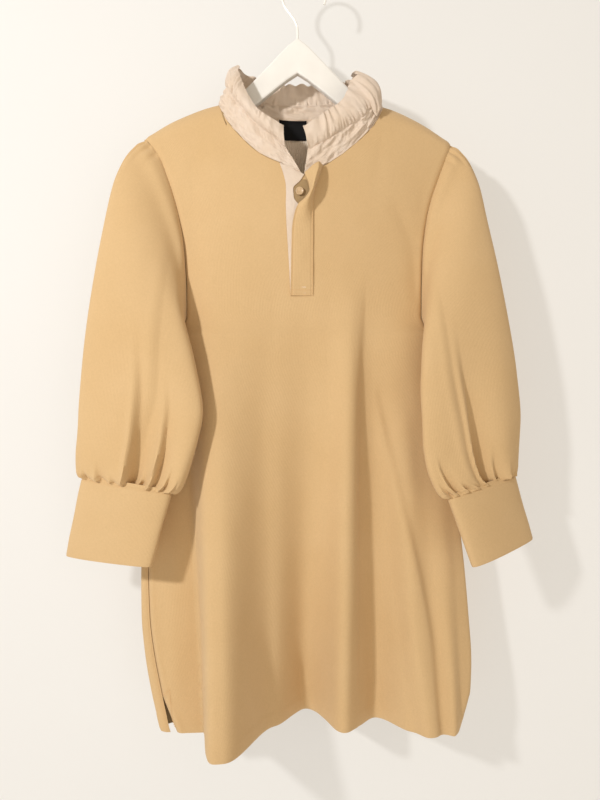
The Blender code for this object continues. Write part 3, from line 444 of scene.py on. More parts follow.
def stitches(name, lines, length, gap, radius, lift=0.12):
    """Rows of thread: each line is (points, normals); every stitch is a small spindle laid on the cloth."""
    spindles = []
    angle = turns(STITCH_SIDES)[:, None]
    for points, facing in lines:
        along = lengths_along(points)
        starts = np.arange(0.4, along[-1] - length, length + gap)
        begin = points_at(starts, along, points)
        end = points_at(starts + length, along, points)
        up = unit(points_at(starts + length / 2, along, facing))
        side = unit(np.cross(unit(end - begin), up))
        loop = np.cos(angle) * side[:, None] + np.sin(angle) * up[:, None]
        rings = []
        for share, size in STITCH_PROFILE:
            centre = blend(begin, end, share) + up * (lift + radius * (size - 0.6))
            rings.append(centre[:, None] + loop * radius * size)
        spindles.append(np.stack(rings, axis=1))
    spindles = np.concatenate(spindles)
    levels = len(STITCH_PROFILE)
    quads = np.stack(grid_corners(levels, STITCH_SIDES, closed=True), axis=1)
    faces = np.arange(len(spindles))[:, None, None] * levels * STITCH_SIDES + quads
    made = mesh_piece(name, spindles.reshape(-1, 3), faces.reshape(-1, 4), "tan_thread")
    return finish_piece(made, ())


# ---------------- materials

materials = {}


def shader_of(name, colour, roughness, **settings):
    made = bpy.data.materials.new(name)
    made.use_nodes = True
    materials[name] = made
    shader = made.node_tree.nodes["Principled BSDF"]
    shader.inputs["Base Color"].default_value = (*colour, 1)
    shader.inputs["Roughness"].default_value = roughness
    for socket, value in settings.items():
        shader.inputs[socket.replace("_", " ")].default_value = value
    return made.node_tree, shader


def add_node(tree, kind, inputs=(), **settings):
    node = tree.nodes.new(kind)
    for key, value in settings.items():
        setattr(node, key, value)
    for key, value in dict(inputs).items():
        if isinstance(value, bpy.types.NodeSocket):
            tree.links.new(value, node.inputs[key])
        else:
            node.inputs[key].default_value = value
    return node


def ramp(tree, source, low, high):
    """Colour from the low one at 0.3 of the source to the high one at 0.7."""
    node = add_node(tree, "ShaderNodeValToRGB", {"Fac": source})
    for element, place, colour in zip(node.color_ramp.elements, (0.3, 0.7), (low, high)):
        element.position = place
        element.color = (*colour, 1)
    return node.outputs["Color"]


def cloudy(tree, scale, detail, roughness=0.5, distortion=0.0):
    place = add_node(tree, "ShaderNodeTexCoord").outputs["Object"]
    made = add_node(tree, "ShaderNodeTexNoise", {"Vector": place, "Scale": scale, "Detail": detail,
                                                 "Roughness": roughness, "Distortion": distortion})
    return made.outputs["Fac"]


def threads(tree, direction, across, down, scale, distortion=0.0, detail=2.0):
    """Bands across the cloth's flat coordinates, which are in metres."""
    place = add_node(tree, "ShaderNodeTexCoord").outputs["UV"]
    stretch = add_node(tree, "ShaderNodeMapping", {"Vector": place, "Scale": (across, down, 1)})
    made = add_node(tree, "ShaderNodeTexWave", {"Vector": stretch.outputs["Vector"], "Scale": scale,
                                                "Distortion": distortion, "Detail": detail},
                    bands_direction=direction)
    return made.outputs["Fac"]


def combine(tree, operation, first, second):
    return add_node(tree, "ShaderNodeMath", {0: first, 1: second}, operation=operation).outputs[0]


def dents(tree, shader, height, strength, distance):
    lift = add_node(tree, "ShaderNodeBump", {"Height": height, "Strength": strength, "Distance": distance})
    tree.links.new(lift.outputs["Normal"], shader.inputs["Normal"])


def knit_material(name, colour, wale, bump, sheen, mottle=0.022, tint=(1.0, 0.98, 0.94)):
    """Jersey face: fine upright wales, a soft nap and slow changes of colour."""
    tree, shader = shader_of(name, colour, 0.92, Sheen_Weight=sheen, Sheen_Roughness=0.55,
                             Specular_IOR_Level=0.18)
    shader.inputs["Sheen Tint"].default_value = (1.0, 0.93, 0.82, 1)
    nap = cloudy(tree, 420.0, 3.0, 0.7)
    dark = tuple(part * (1 - mottle) * shade for part, shade in zip(colour, tint))
    light = tuple(min(1, part * (1 + mottle)) for part in colour)
    base = ramp(tree, cloudy(tree, 9.0, 4.0, 0.55), dark, light)
    speck = ramp(tree, nap, (0.96, 0.96, 0.95), (1.03, 1.03, 1.03))
    mixed = add_node(tree, "ShaderNodeMix", {6: base, 7: speck}, data_type="RGBA", blend_type="MULTIPLY")
    mixed.inputs[0].default_value = 1.0
    tree.links.new(mixed.outputs[2], shader.inputs["Base Color"])
    wales = threads(tree, "X", 1 / wale, 0.62 / wale, 0.16, distortion=1.2, detail=1.5)
    dents(tree, shader, combine(tree, "ADD", wales, nap), bump, 0.0006)


def cotton_material(name, colour, bump=0.6):
    """Plain woven cotton with fine crinkles."""
    tree, shader = shader_of(name, colour, 0.82, Sheen_Weight=0.12, Specular_IOR_Level=0.25)
    dark = tuple(part * shade for part, shade in zip(colour, (0.94, 0.90, 0.84)))
    tree.links.new(ramp(tree, cloudy(tree, 26.0, 3.0), dark, colour), shader.inputs["Base Color"])
    weave = combine(tree, "MULTIPLY", *(threads(tree, way, 1600, 1600, 0.3) for way in "XY"))
    crinkle = combine(tree, "MULTIPLY", cloudy(tree, 150.0, 5.0, 0.6, 0.6), 3.0)
    dents(tree, shader, combine(tree, "ADD", weave, crinkle), bump, 0.0008)


def hard_material(name, colour, roughness, bump=0.05, scale=60.0, mottle=0.03, **settings):
    """Lacquer, wire, horn or thread: even colour with slight unevenness and small dents."""
    tree, shader = shader_of(name, colour, roughness, **settings)
    slow = cloudy(tree, scale, 3.0)
    dark = tuple(part * (1 - mottle * 2) for part in colour)
    tree.links.new(ramp(tree, slow, dark, colour), shader.inputs["Base Color"])
    dents(tree, shader, slow, bump, 0.001)
    return tree, shader


TERRY = (0.585, 0.405, 0.215)
# Terry darkened as painted shade, for the inner faces and the strip beside the underlap
TERRY_SHADED = tuple(part * 0.62 for part in TERRY)
knit_material("terry", TERRY, 0.0011, 0.2, 0.18)
knit_material("terry_cuff", TERRY, 0.0009, 0.25, 0.18)
# The loops' own paler colour, made paler still as painted light where light comes in at the neck
knit_material("pale_loops_painted_light", (0.90, 0.77, 0.64), 0.0016, 0.7, 0.1)
knit_material("terry_painted_shade", TERRY_SHADED, 0.0011, 0.3, 0.05)
cotton_material("cream_cotton", (0.83, 0.70, 0.59))
hard_material("tan_thread", (0.70, 0.44, 0.21), 0.7, scale=900.0)
hard_material("button_horn", (0.60, 0.42, 0.24), 0.3, scale=240.0, mottle=0.12, Coat_Weight=0.2)
hard_material("label_satin", (0.004, 0.004, 0.005), 0.6, scale=500.0, bump=0.2, Specular_IOR_Level=0.15)
hard_material("white_lacquer", (0.86, 0.84, 0.80), 0.28, scale=30.0, Coat_Weight=0.25)
hard_material("white_wire", (0.88, 0.86, 0.82), 0.25, scale=80.0, Coat_Weight=0.3)
tree, shader = hard_material("backdrop", (0.38, 0.375, 0.365), 0.9, scale=4.0, bump=0.0, mottle=0.01,
                             Emission_Strength=0.45)
# The wall hides nothing from a camera behind it, and its own glow keeps its shadows pale
shader.inputs["Emission Color"].default_value = (1.0, 0.955, 0.89, 1)
faces_away = add_node(tree, "ShaderNodeNewGeometry").outputs["Backfacing"]
clear = add_node(tree, "ShaderNodeBsdfTransparent").outputs["BSDF"]
either = add_node(tree, "ShaderNodeMixShader", {0: faces_away, 1: shader.outputs["BSDF"], 2: clear})
tree.links.new(either.outputs["Shader"], tree.nodes["Material Output"].inputs["Surface"])


# ---------------- body

def fold_depth(folds, x, z):
    total = np.zeros_like(x)
    for row in zip(*folds.values()):
        fold = dict(zip(folds, row))
        share = np.clip((fold["start_z"] - z) / (fold["start_z"] - HEM_Z), 0, 1)
        crest = blend(fold["start_x"], fold["hem_x"], share)
        left = blend(fold["start_left"], fold["hem_left"], share)
        right = blend(fold["start_right"], fold["hem_right"], share)
        off = np.clip(np.abs(x - crest) / np.where(x < crest, left, right), 0, 1)
        off = np.where(x < crest, off ** blend(1.0, fold["blunt"], share), off)
        total = total + fold["height"] * share ** fold["growth"] * 0.5 * (1 + np.cos(math.pi * off))
    return total


def crease_depth(creases, x, z):
    """Height of the pressed creases at points of a panel."""
    total = np.zeros_like(x)
    for points, height, left, right, fade in creases:
        line_x, line_z = np.array(points, dtype=float).T
        middle = smooth(line_z, line_x, z)
        off = (x - middle) / np.where(x < middle, left, right)
        upper = ease(line_z[0] + fade * 0.4, line_z[0] - fade * 0.6, z)
        lower = ease(line_z[-1] - fade * 0.4, line_z[-1] + fade * 0.6, z) if line_z[-1] > HEM_Z + 1 else 1.0
        total = total + height * np.exp(-np.abs(off) ** 1.7) * upper * lower
    return total


PANELS = {
    "front": (NECK_FRONT, "front", FRONT_FOLDS, -1, 0.0),
    "back": (NECK_BACK, "back", BACK_FOLDS, 1, BACK_ARMHOLE_EASE),
}


def panel_points(kind, x_top, level, across_lower):
    """Points of one row: level 0 to 1 runs from the top edge to the underarm, 1 to 2 on to the hem."""
    neck, fullness, folds, away, arm_ease = PANELS[kind]
    if level <= 1:
        f = (x_top - LEFT_TIP) / (RIGHT_TIP - LEFT_TIP)
        over_neck = (x_top > LEFT_NECK) & (x_top < RIGHT_NECK)
        z_top = np.where(over_neck, read(neck, "x", "z", x_top), read(SHOULDER, "x", "z", x_top))
        edge_z = blend(ARMHOLE_TIP_Z, UNDERARM_Z, level)
        room = arm_ease * math.sin(math.pi * level)
        x = blend(read(ARMHOLE, "z", "left", edge_z) - room, read(ARMHOLE, "z", "right", edge_z) + room, f)
        z = blend(z_top, UNDERARM_Z, level)
    else:
        f = across_lower
        z = np.full_like(f, blend(UNDERARM_Z, HEM_Z, level - 1))
        x = blend(read(BODY, "z", "left", z), read(BODY, "z", "right", z), f)
    middle = np.sin(math.pi * np.clip(f, 0, 1))
    flat = 0.42 + 0.58 * middle ** 0.8
    rounded = (1 - np.abs(2 * f - 1) ** SIDE_ROUNDING).clip(0) ** (1 / SIDE_ROUNDING)
    near_side = np.abs(2 * f - 1) ** 5
    late = ease(blend(-440.0, -496.0, near_side), blend(-640.0, -512.0, near_side), z)
    below = np.clip((read(SHOULDER, "x", "z", x) - z) / read(SHOULDER, "x", "softness", x), 0, 1)
    over_shoulder = np.sqrt(1 - (1 - below) ** 2)
    stand = read(BODY, "z", fullness, z) * blend(flat, rounded, late) * over_shoulder
    seam = read(BODY, "z", "seam", np.minimum(z, UNDERARM_Z)) * late
    axis = blend(seam, read(BODY, "z", "middle", z), middle ** 2)
    settle = np.clip(np.minimum(f, 1 - f) / 0.03, 0, 1)
    folding = fold_depth(folds, x, z) * blend(middle, settle, ease(-505.0, -600.0, z))
    y = axis + away * (stand + folding)
    return np.stack([x, y, z], axis=1)


def levels_of(upper, lower):
    """Rows of a panel: closer together at the shoulder, the underarm and the hem."""
    s = np.linspace(0, 1, upper)
    top = blend(s, ease(0, 1, s), 0.5)
    s = np.linspace(0, 1, lower)[1:]
    return np.concatenate([top, 1 + blend(s, ease(0, 1, s), 0.25)])


def spread(*stops):
    """Positions with the wanted count in each stretch: (start, count), ..., (end, 0)."""
    parts = [np.linspace(start[0], end[0], start[1], endpoint=False) for start, end in zip(stops, stops[1:])]
    return np.concatenate(parts + [[stops[-1][0]]])


def panel_columns(shoulder, neck_edge, middle):
    return spread((LEFT_TIP, 8), (-214, shoulder), (LEFT_NECK, neck_edge), (-98, middle), (98, neck_edge),
                  (RIGHT_NECK, shoulder), (198, 8), (RIGHT_TIP, 0))


FRONT_COLUMNS = panel_columns(26, 12, 60)
BACK_COLUMNS = panel_columns(20, 8, 36)[::-1]
FRONT_LEVELS = levels_of(110, 150)
BACK_LEVELS = levels_of(80, 100)
WRAP_COLUMNS = 12
# Widths of the open vents at the hem, as shares of the body's width
LEFT_VENT = 0.024
RIGHT_VENT = 0.008
# Columns and rows of the back whose inner faces show the pale loops with painted light inside the neck; the
# rest get painted shade
PAINTED_LIGHT_HALF_WIDTH = 112
PAINTED_LIGHT_ROWS = 45


def side_places(level):
    """Where the left side seam lies in a row, and how far the vents stand open there."""
    z = blend(UNDERARM_Z, HEM_Z, max(level - 1, 0))
    opened = np.clip((VENT_TOP_Z - z) / (VENT_TOP_Z - HEM_Z), 0, 1)
    return float(read(SIDE_SEAM, "z", "left", z)), opened


def front_grid():
    share = (FRONT_COLUMNS - LEFT_TIP) / (RIGHT_TIP - LEFT_TIP)
    rows = []
    for level in FRONT_LEVELS:
        seam_share, opened = side_places(level)
        across = blend(seam_share + LEFT_VENT * opened, 1 - RIGHT_VENT * opened, share)
        rows.append(panel_points("front", FRONT_COLUMNS, level, across))
    return np.array(rows)


def back_grid():
    """The back, from its right edge to its left edge and on round to the side seam on the front."""
    share = (BACK_COLUMNS - LEFT_TIP) / (RIGHT_TIP - LEFT_TIP)
    rows = []
    for level in BACK_LEVELS:
        seam_share, opened = side_places(level)
        body = panel_points("back", BACK_COLUMNS, level, share * (1 - RIGHT_VENT * opened))
        if level <= 1:
            wrap = np.repeat(body[-1:], WRAP_COLUMNS, axis=0)
        else:
            around = np.linspace(0, 1, WRAP_COLUMNS + 1)[1:] * seam_share
            wrap = panel_points("front", LEFT_TIP + around, level, around)
        rows.append(np.concatenate([body, wrap]))
    return np.array(rows)


def seam_groove(grid, depth_left, depth_right, width=2.4):
    """Dents along the left and the right edge of a grid, with a soft ridge beside each."""
    steps = np.linalg.norm(np.diff(grid, axis=1, prepend=grid[:, :1]), axis=2)
    from_left = np.cumsum(steps, axis=1)
    total = 0
    for distance, depth in ((from_left, depth_left), (from_left[:, -1:] - from_left, depth_right)):
        dent = 0.35 * hump((distance - 3.2 * width) / (1.6 * width)) - hump(distance / width)
        total = total + dent * np.broadcast_to(depth, len(grid))[:, None]
    return total


def hem_roll(levels):
    """The turned hem: a little thicker than the cloth above it, with its edge rounded in."""
    above = (2 - levels) * (UNDERARM_Z - HEM_Z)
    return 0.5 * ease(21, 17, above) - 0.9 * hump(above / 1.6)


def dressed(grid, columns, levels, creases, strength, waves, grooves, shoulder_dent):
    """A panel with its creases, slow waves (height, width, length, seed), seams and hem."""
    x, z = grid[..., 0], grid[..., 2]
    detail = strength * crease_depth(creases, x, z)
    for height, width, length, seed in waves:
        detail = detail + height * noise(x / width, z / length, seed)
    still = ease(0, 12, columns - LEFT_TIP) * ease(0, 12, RIGHT_TIP - columns)
    detail = detail * still * ease(0, 0.06, levels)[:, None] + seam_groove(grid, *grooves)
    detail = detail - 0.9 * hump(levels / shoulder_dent)[:, None] + hem_roll(levels)[:, None]
    return grid + normals_of(grid) * detail[..., None]


front = front_grid()
left_groove = blend(1.0, 2.8, ease(-560, -620, front[:, 0, 2]))
front = dressed(front, FRONT_COLUMNS, FRONT_LEVELS, FRONT_CREASES, 1,
                ((0.5, 46, 120, 3), (0.22, 17, 44, 4)), (left_groove, 1.1), 0.007)
front_normals = normals_of(front)
back = back_grid()
wrapped = np.concatenate([BACK_COLUMNS, np.full(WRAP_COLUMNS, LEFT_TIP)])
rim_groove = 1.5 * ease(-540, -620, back[:, -1, 2])
back = dressed(back, wrapped, BACK_LEVELS, BACK_CREASES, 1.7,
               ((0.6, 50, 130, 13), (0.25, 19, 50, 14)), (1.1, rim_groove), 0.009)

# Inner faces are terry with painted shade; inside the back's neck they are the pale loops with painted light
inside = np.ones((len(FRONT_LEVELS) - 1, len(FRONT_COLUMNS) - 1), dtype=np.int32)
front_cloth = cloth_piece("front_cloth", front, TERRY_WALL, "terry", ["dress_front"], inside=inside)
inside = np.ones((len(BACK_LEVELS) - 1, len(wrapped) - 1), dtype=np.int32)
inside[:PAINTED_LIGHT_ROWS, np.abs(wrapped[1:]) < PAINTED_LIGHT_HALF_WIDTH] = 2
back_cloth = cloth_piece("back_cloth", back, TERRY_WALL, "terry", ["dress_back"], inside=inside)


# ---------------- sleeves and cuffs

# Edges of the sleeves and cuffs from the smaller to the larger x
EDGE_ORDER = {"left": ("outer", "inner"), "right": ("inner", "outer")}


def flat_ring(ends, depth, sides):
    first, last = ends
    angle = turns(sides)
    chord = (last - first) / 2
    forward = np.array([0.0, -1.0, 0.0])
    forward = unit(forward - unit(chord) * np.dot(forward, unit(chord)))
    bulge = np.sign(np.sin(angle)) * np.abs(np.sin(angle)) ** 0.85
    return (last + first) / 2 - np.cos(angle)[:, None] * chord + (bulge * depth)[:, None] * forward


def armhole_ring(side):
    """The sleeve's first ring: down the front's armhole edge, round the underarm and up the back's."""
    half = SLEEVE_SIDES // 2
    foot = round(SLEEVE_SIDES * FOOT_SHARE)
    last_step = len(ARMHOLE_WALK) - 1
    down, under, up = (np.interp(np.linspace(*stretch), np.arange(len(ARMHOLE_WALK)), ARMHOLE_WALK)[:-1]
                       for stretch in ((0, FOLD_STEP, half + 1), (FOLD_STEP, last_step, foot + 1),
                                       (last_step, 0, half - foot + 1)))
    upper_front = FRONT_LEVELS <= 1
    upper_back = BACK_LEVELS <= 1
    front_edge = front[upper_front, 0 if side == "left" else -1]
    back_edge = back[upper_back, len(BACK_COLUMNS) - 1 if side == "left" else 0]
    ring = np.concatenate([points_at(down, FRONT_LEVELS[upper_front], front_edge),
                           points_at(under, FRONT_LEVELS[upper_front], front_edge),
                           points_at(up, BACK_LEVELS[upper_back], back_edge)])
    if side == "right":
        ring = np.roll(ring[::-1], half + 1, axis=0)
    return ring


def round_gap(around, place):
    """Distance round the ring from a place to these, as a share of the ring from -0.5 to 0.5."""
    return (around - place + 0.5) % 1 - 0.5


def sleeve_creases(side, creases, around, share):
    """How far the creases push the sleeve out: each has a steep side, a gentle side and a soft ridge."""
    push = 0
    for top, foot, first, depth, width_top, width_foot in creases:
        along = np.clip((share - first) / (CREASE_END - first), 0, 1)
        centre = blend(top, foot, along) + 0.004 * noise(share * 7, share * 0 + top * 40, 25)
        off = round_gap(around, centre) / blend(width_top, width_foot, along) * (1 if side == "left" else -1)
        off = np.where(off < 0, -off / STEEP_SIDE, off / GENTLE_SIDE)
        held = depth * ease(0, 0.7, along) * (1 - 0.7 * ease(0.975, 1.0, share))
        push = push + held * (0.5 * hump(off - 2.1) - CREASE_DEPTH * np.exp(-off ** 1.7))
    return push


def placed(curves, name):
    """Points from the three columns of a table that share this name."""
    return np.stack([curves[name + axis] for axis in ("_x", "_y", "_z")], axis=1)


def sleeve_grid(side, curves, creases):
    steps = np.arange(len(curves["depth"]), dtype=float)
    s = np.linspace(0, 1, SLEEVE_RINGS)
    walk = blend(s, 1 - (1 - s) ** 2, 0.4) * steps[-1]
    at = {name: smooth(steps, values, walk) for name, values in curves.items()}
    ends = [placed(at, edge) for edge in EDGE_ORDER[side]]
    rings = np.array([flat_ring(pair, depth, SLEEVE_SIDES) for *pair, depth in zip(*ends, at["depth"])])
    rings = rings + (armhole_ring(side) - rings[0]) * at["armhole"][:, None, None]
    share = (walk / steps[-1])[:, None]
    around = np.arange(SLEEVE_SIDES) / SLEEVE_SIDES
    if side == "right":
        around = (0.5 - around) % 1
    around = np.broadcast_to(around, (SLEEVE_RINGS, SLEEVE_SIDES))
    push = sleeve_creases(side, creases, around, share)
    push += 3.0 * ease(0.72, 0.93, share) * (1 - ease(0.95, 1.0, share) * 0.6)
    gathers = np.cos(2 * math.pi * (GATHERS * around + 1.3 * noise(around * 9, share * 0 + 0.5, 21)))
    gathers = gathers * (0.5 + 0.9 * noise(around * 13, share * 2, 22)).clip(0)
    push += GATHER_HEIGHT * gathers * ease(0.83, 0.975, share) * (1 - 0.55 * ease(0.985, 1.0, share))
    push -= hump(share / 0.006)
    cap_puff = hump((share - 0.045) / 0.03) * ease(0.12, 0.02, np.minimum(around, 1 - around))
    front_puff = hump((share - 0.05) / 0.04) * ease(0.04, 0.12, around) * ease(0.44, 0.34, around)
    push += 2.0 * cap_puff + 3.6 * front_puff
    for place, depth, length in CAP_PUCKERS:
        held = ease(0, 0.012, share) * (1 - ease(length * 0.2, length, share))
        push -= PUCKER_DEPTH * depth * hump(round_gap(around, place) / 0.012) * held
    slow = 1.3 * noise(around * 6, share * 4, 23) + 0.5 * noise(around * 14, share * 9, 24)
    push += slow * ease(0.02, 0.15, share) * (1 - ease(0.9, 1.0, share))
    return rings + normals_of(rings, closed=True) * push[..., None]


def cuff_grid(side, curves, foot, seed):
    order = EDGE_ORDER[side]
    top_ring = flat_ring([placed(curves, edge)[-1] for edge in order], curves["depth"][-1] + 0.6, CUFF_SIDES)
    foot_ring = flat_ring([np.array(foot[edge], dtype=float) for edge in order], CUFF_FOOT_DEPTH, CUFF_SIDES)
    share = spread((-0.05, 5), (0, 10), (0.06, 40), (0.96, 6), (1, 0))[:, None]
    grid = blend(top_ring, foot_ring, share[..., None])
    around = np.arange(CUFF_SIDES)[None, :] / CUFF_SIDES
    push = 1.4 * ease(0, 0.04, share) * (1 - 0.3 * ease(0.1, 0.5, share))
    push = push - 1.4 * (1 - ease(-0.02, 0.012, share))
    push = push + 0.5 * noise(around * 7, share * 4, seed) - 0.5 * ease(0.975, 1.0, share)
    return grid + normals_of(grid, closed=True) * push[..., None]


for side, curves, creases, foot, seed in (("left", LEFT_SLEEVE, LEFT_CREASES, LEFT_CUFF_FOOT, 31),
                                          ("right", RIGHT_SLEEVE, RIGHT_CREASES, RIGHT_CUFF_FOOT, 33)):
    sleeve = "sleeve_" + side
    made = cloth_piece(sleeve + "_cloth", sleeve_grid(side, curves, creases), TERRY_WALL, "terry", [sleeve],
                       closed=True)
    cuff = "cuff_" + side
    made = cloth_piece(cuff + "_cloth", cuff_grid(side, curves, foot, seed), TERRY_WALL, "terry_cuff", [cuff],
                       closed=True)


# ---------------- collar

def neckline():
    """Top edge of the cloth round the neck, from the right of the centre front to its left, evenly spaced."""
    front_right = front[0, (FRONT_COLUMNS >= 0) & (FRONT_COLUMNS <= RIGHT_NECK)]
    over_back = (BACK_COLUMNS < RIGHT_NECK - 1) & (BACK_COLUMNS > LEFT_NECK + 1)
    back_run = back[0, :len(BACK_COLUMNS)][over_back]
    front_left = front[0, (FRONT_COLUMNS < 0) & (FRONT_COLUMNS >= LEFT_NECK)]
    line = np.concatenate([front_right, back_run, front_left])
    along = lengths_along(line)
    return points_at(np.linspace(0, along[-1], COLLAR_COLUMNS), along, line)


seam = neckline()
along = np.linspace(0, 1, COLLAR_COLUMNS)
collar = {name: read(COLLAR, "along", name, along) for name in COLLAR}
band_rise, frill_rise = placed(collar, "band"), placed(collar, "frill")
band_up = unit(band_rise)
run = along[None, :] * lengths_along(seam)[-1]
height = np.linspace(1, 0, COLLAR_ROWS)[:, None]
up = height * BAND_HEIGHT
band = seam + band_up * 0.5 + band_rise * height[..., None]
crumple = 2.6 * noise((run + 0.5 * up) / 15, (up - 0.25 * run) / 6.5, 41)
crumple = crumple + 0.8 * noise(run / 5.5, up / 4, 42)
crumple = crumple + 2.0 * noise(run / 3.8, up / 12, 43) * height ** 3
crumple = crumple + 0.8 * noise(run / 4.6, up / 14, 44) * (1 - height) ** 4
swell = 1.2 * np.sin(math.pi * height) + 1.2 * hump(height / 0.03)
band_facing = normals_of(band)
push = swell + crumple * ease(0, 0.05, height) * (1 - ease(0.9, 1.0, height))
band = band + band_facing * push[..., None]
collar_band = cloth_piece("collar_band_cloth", band, COTTON_WALL, "cream_cotton", ["collar_band"])

pinch = noise(run / 2.7 + 0.4 * noise(run / 14, height * 2, 55), height * 1.2, 53)
pinch = pinch * (hump((height - 0.12) / 0.2) + 0.1)
soft_run = run / 21 + 0.9 * noise(run / 24, height * 0.8, 51)
wave = np.cos(2 * math.pi * soft_run) * (0.6 + 0.6 * noise(run / 33, run * 0, 52))
folded = ease(BOX_FOLD[0], BOX_FOLD[0] + BOX_FOLD_EDGE, along)
folded = folded * (1 - ease(BOX_FOLD[1] - BOX_FOLD_EDGE, BOX_FOLD[1], along))
front_roll = 1 - ease(0.26, 0.36, along) * (1 - ease(0.62, 0.72, along))
push = blend(3.0, 5.5, front_roll) * np.sin(math.pi * height ** 0.8) - 4 * height ** 3
push = push + 1.9 * pinch * ease(0, 0.08, height) + 2.6 * height ** 1.4 * wave
push = push + 1.1 * noise((run + 20 * height) / 9, height * 3, 54) * ease(0, 0.2, height)
push = push + folded * (3 + 7 * np.sin(math.pi * (0.1 + 0.75 * height)))
frill = band[0] - band_up * 0.6 + frill_rise * height[..., None] + band_facing[0] * push[..., None]
frill = frill - band_up * (folded * 15 * (1 - height) ** 1.3)[..., None]
collar_frill = cloth_piece("collar_frill_cloth", frill, THIN_COTTON_WALL, "cream_cotton", ["collar_frill"])


# ---------------- placket, button, label

def on_front(x, z, lift):
    """Points on the front at these places, moved out by the lift, and the directions that they face."""
    points = []
    normals = []
    for px, pz, out in np.broadcast(x, z, lift):
        guess = px
        for _ in range(4):
            place = float(np.interp(guess, FRONT_COLUMNS, np.arange(len(FRONT_COLUMNS))))
            low = min(int(place), len(FRONT_COLUMNS) - 2)
            line = blend(front[:, low], front[:, low + 1], place - low)
            level = float(np.interp(-pz, -line[:, 2], np.arange(len(line))))
            step = min(int(level), len(line) - 2)
            point = blend(line[step], line[step + 1], level - step)
            guess += (px - point[0]) * 1.1
        normals.append(unit(blend(front_normals[step, low], front_normals[step + 1, low + 1], 0.5)))
        points.append(point + normals[-1] * out)
    return np.array(points), np.array(normals)


down = np.linspace(0, 1, PLACKET_ROWS)


def strip(left_x, right_x, columns, lift, top=-1.5, foot_z=PLACKET_FOOT_Z + 3):
    """Grid on the front between two edges that run from the neckline down to the foot."""
    shares = np.linspace(0, 1, columns)
    left_z, right_z = (blend(read(NECK_FRONT, "x", "z", x) + top, foot_z, down) for x in (left_x, right_x))
    lift = np.broadcast_to(lift, (PLACKET_ROWS, columns))
    return np.array([on_front(blend(x0, x1, shares), blend(z0, z1, shares), out)[0]
                     for x0, x1, z0, z1, out in zip(left_x, right_x, left_z, right_z, lift)])


under = {name: read(PLACKET_UNDER, "share", name, down) for name in PLACKET_UNDER}
under_strip = strip(under["left"], under["right"], UNDER_COLUMNS, 1.5)
placket_under = cloth_piece("placket_under_cloth", under_strip, COTTON_WALL, "cream_cotton",
                            ["placket_under"])
# A strip of terry with painted shade right of the underlap, where the front shows in shadow
shade_strip = strip(under["right"] - 3, under["seam"], SHADE_STRIP_COLUMNS, 0.4)[4:44]
shade_patch = cloth_piece("placket_shade_cloth", shade_strip, THIN_COTTON_WALL, "terry_painted_shade", [])

over = {name: read(PLACKET_OVER, "share", name, down)[:, None] for name in PLACKET_OVER}
across = np.linspace(0, 1, OVER_COLUMNS)
roll = np.where(across < over["crest"], np.sin(math.pi / 2 * across / over["crest"]),
                np.cos(math.pi / 2 * (across - over["crest"]) / (1 - over["crest"])))
over_lift = blend(3.1 + over["lift"], 1.9, across) + over["roll"] * roll.clip(0) ** 1.3
width = over["sewn_x"] - over["free_x"]
above_foot = (1 - down[:, None]) * PLACKET_LENGTH
for off_line in (across * width - 2.0, (1 - across) * width - 2.2, above_foot - 2.0, above_foot - 10.5):
    over_lift = over_lift - 0.7 * hump(off_line / 0.9) * ease(0.1, 0.3, down)[:, None]
over_lift = over_lift + 0.7 * noise(down[:, None] * 9, across * 2.2, 61) * ease(0.2, 0.4, down)[:, None]
over_strip = strip(over["free_x"][:, 0], over["sewn_x"][:, 0], OVER_COLUMNS, over_lift, -1.0, PLACKET_FOOT_Z)
placket_over = cloth_piece("placket_over_cloth", over_strip, OVERLAP_WALL, "terry", ["placket_over"])

# Button: a disc turned from its profile, in the gap between the two strips
centre, facing = (part[0] for part in on_front(-6.0, -320.0, 2.2))
side_way = unit(np.cross(facing, np.array([0, 0, 1.0])))
up_way = unit(np.cross(side_way, facing))
angle = turns(BUTTON_SIDES)[:, None]
rings = [centre + facing * height + radius * (np.cos(angle) * side_way + np.sin(angle) * up_way)
         for radius, height in BUTTON_PROFILE]
quads = np.stack(grid_corners(len(BUTTON_PROFILE), BUTTON_SIDES, closed=True), axis=1)
button = mesh_piece("button_disc", np.concatenate(rings), quads, "button_horn")
finish_piece(button, ["button"])

# Label: bare black satin, hung inside the back neck
label_columns = []
for x in np.linspace(4, -36, 14):
    line = back[:, np.argmin(np.abs(BACK_COLUMNS - x))]
    hung = points_at(np.linspace(0.6, 28, 12), line[0, 2] - line[:, 2], line) - (0, TERRY_WALL + 0.9, 0)
    hung[:, 0] = x
    label_columns.append(hung)
neck_label = cloth_piece("label_cloth", np.stack(label_columns, axis=1), LABEL_WALL, "label_satin",
                         ["neck_label"])


# ---------------- sewing

def seam_of(grid, rows, columns, lift=0.1):
    """Line of stitches on a grid: its points and the directions that they face."""
    normals = normals_of(grid)[rows, columns]
    return grid[rows, columns] + normals * lift, normals


def line_on_front(*stops, count=40):
    """Points along a line drawn on the front through (x, z) stops."""
    share = np.linspace(0, len(stops) - 1, count)
    x, z = (np.interp(share, np.arange(len(stops)), values) for values in zip(*stops))
    return on_front(x, z, 0.15)


vent_lines = [line_on_front((-193, -1007), (-184, -1000), (-178, -1049)),
              line_on_front((-193, -1010), (-186, -1004))]
stitches("vent_stitches", vent_lines, length=2.2, gap=0.8, radius=0.3)
all_rows = slice(None)
placket_lines = [seam_of(over_strip, slice(8, None), -2), seam_of(over_strip, slice(26, None), 2),
                 seam_of(over_strip, -2, all_rows), seam_of(over_strip, -5, all_rows)]
stitches("placket_stitches", placket_lines, length=1.9, gap=0.7, radius=0.22)


# ---------------- hanger

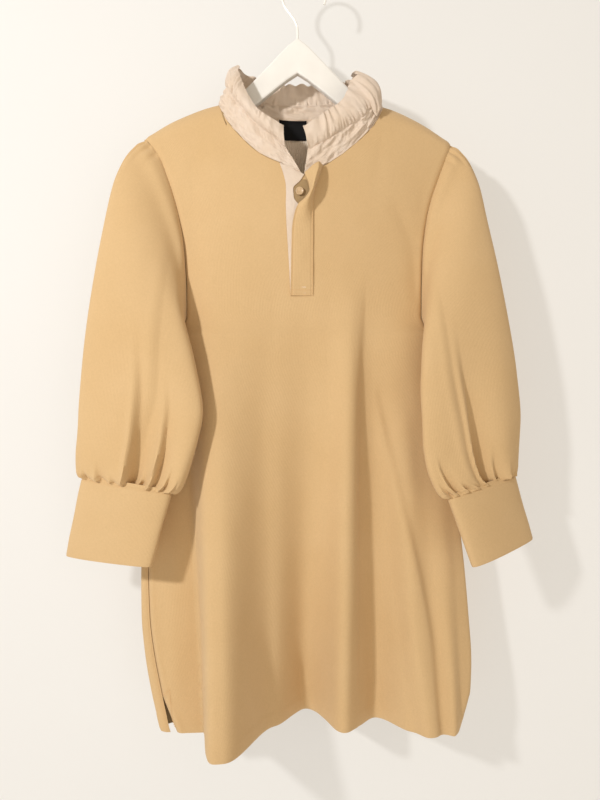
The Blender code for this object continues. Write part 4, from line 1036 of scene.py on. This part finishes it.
for node, look in (("hanger_body", "white_lacquer"), ("hanger_hook", "white_wire")):
    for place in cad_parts[node].material_slots:
        place.material = materials[look]


# ---------------- light, backdrop and camera

def area_light(name, place, target, size, watts, colour):
    light = bpy.data.lights.new(name, "AREA")
    light.shape = "DISK"
    light.size = size
    light.energy = watts
    light.color = colour
    made = bpy.data.objects.new(name, light)
    made.location = place
    made.rotation_mode = "QUATERNION"
    made.rotation_quaternion = (Vector(target) - Vector(place)).to_track_quat("-Z", "Y")
    bpy.context.scene.collection.objects.link(made)


FLOOR_Z = -1330.0
WALL_Y = 64.0
REACH = 4000.0
WALL_TOP_Z = 2600.0


def plane(name, near, far):
    """Rectangle over the whole reach in x, from one (y, z) edge to the other."""
    corners = np.array([(-REACH, *near), (REACH, *near), (REACH, *far), (-REACH, *far)])
    made = mesh_piece(name, corners, np.array([[0, 1, 2, 3]]), "backdrop")
    return made


wall = plane("backdrop", (WALL_Y, FLOOR_Z), (WALL_Y, WALL_TOP_Z))
wall.visible_shadow = False
plane("floor", (-REACH, FLOOR_Z), (REACH, FLOOR_Z))

area_light("key", (-1.2, -1.45, 0.1), (0, 0, -0.6), 0.15, 26, (1.0, 1.0, 1.0))
area_light("fill", (0.7, -2.3, -0.75), (0, 0, -0.55), 2.2, 13, (1.0, 0.87, 0.68))
area_light("back", (0.9, 2.4, 0.5), (0, 0, -0.6), 2.0, 26, (1.0, 0.98, 0.95))
world = bpy.data.worlds.new("studio")
world.use_nodes = True
world.node_tree.nodes["Background"].inputs["Color"].default_value = (1.0, 0.88, 0.72, 1)
world.node_tree.nodes["Background"].inputs["Strength"].default_value = 0.5
bpy.context.scene.world = world

camera_data = bpy.data.cameras.new("camera")
camera_data.lens = 30.96
camera_data.sensor_width = 36.0
camera = bpy.data.objects.new("camera", camera_data)
camera.location = (-0.0057, -0.98, -0.604)
camera.rotation_euler = (math.radians(90), 0, 0)
bpy.context.scene.collection.objects.link(camera)
bpy.context.scene.camera = camera
bpy.context.scene.view_settings.view_transform = "Standard"
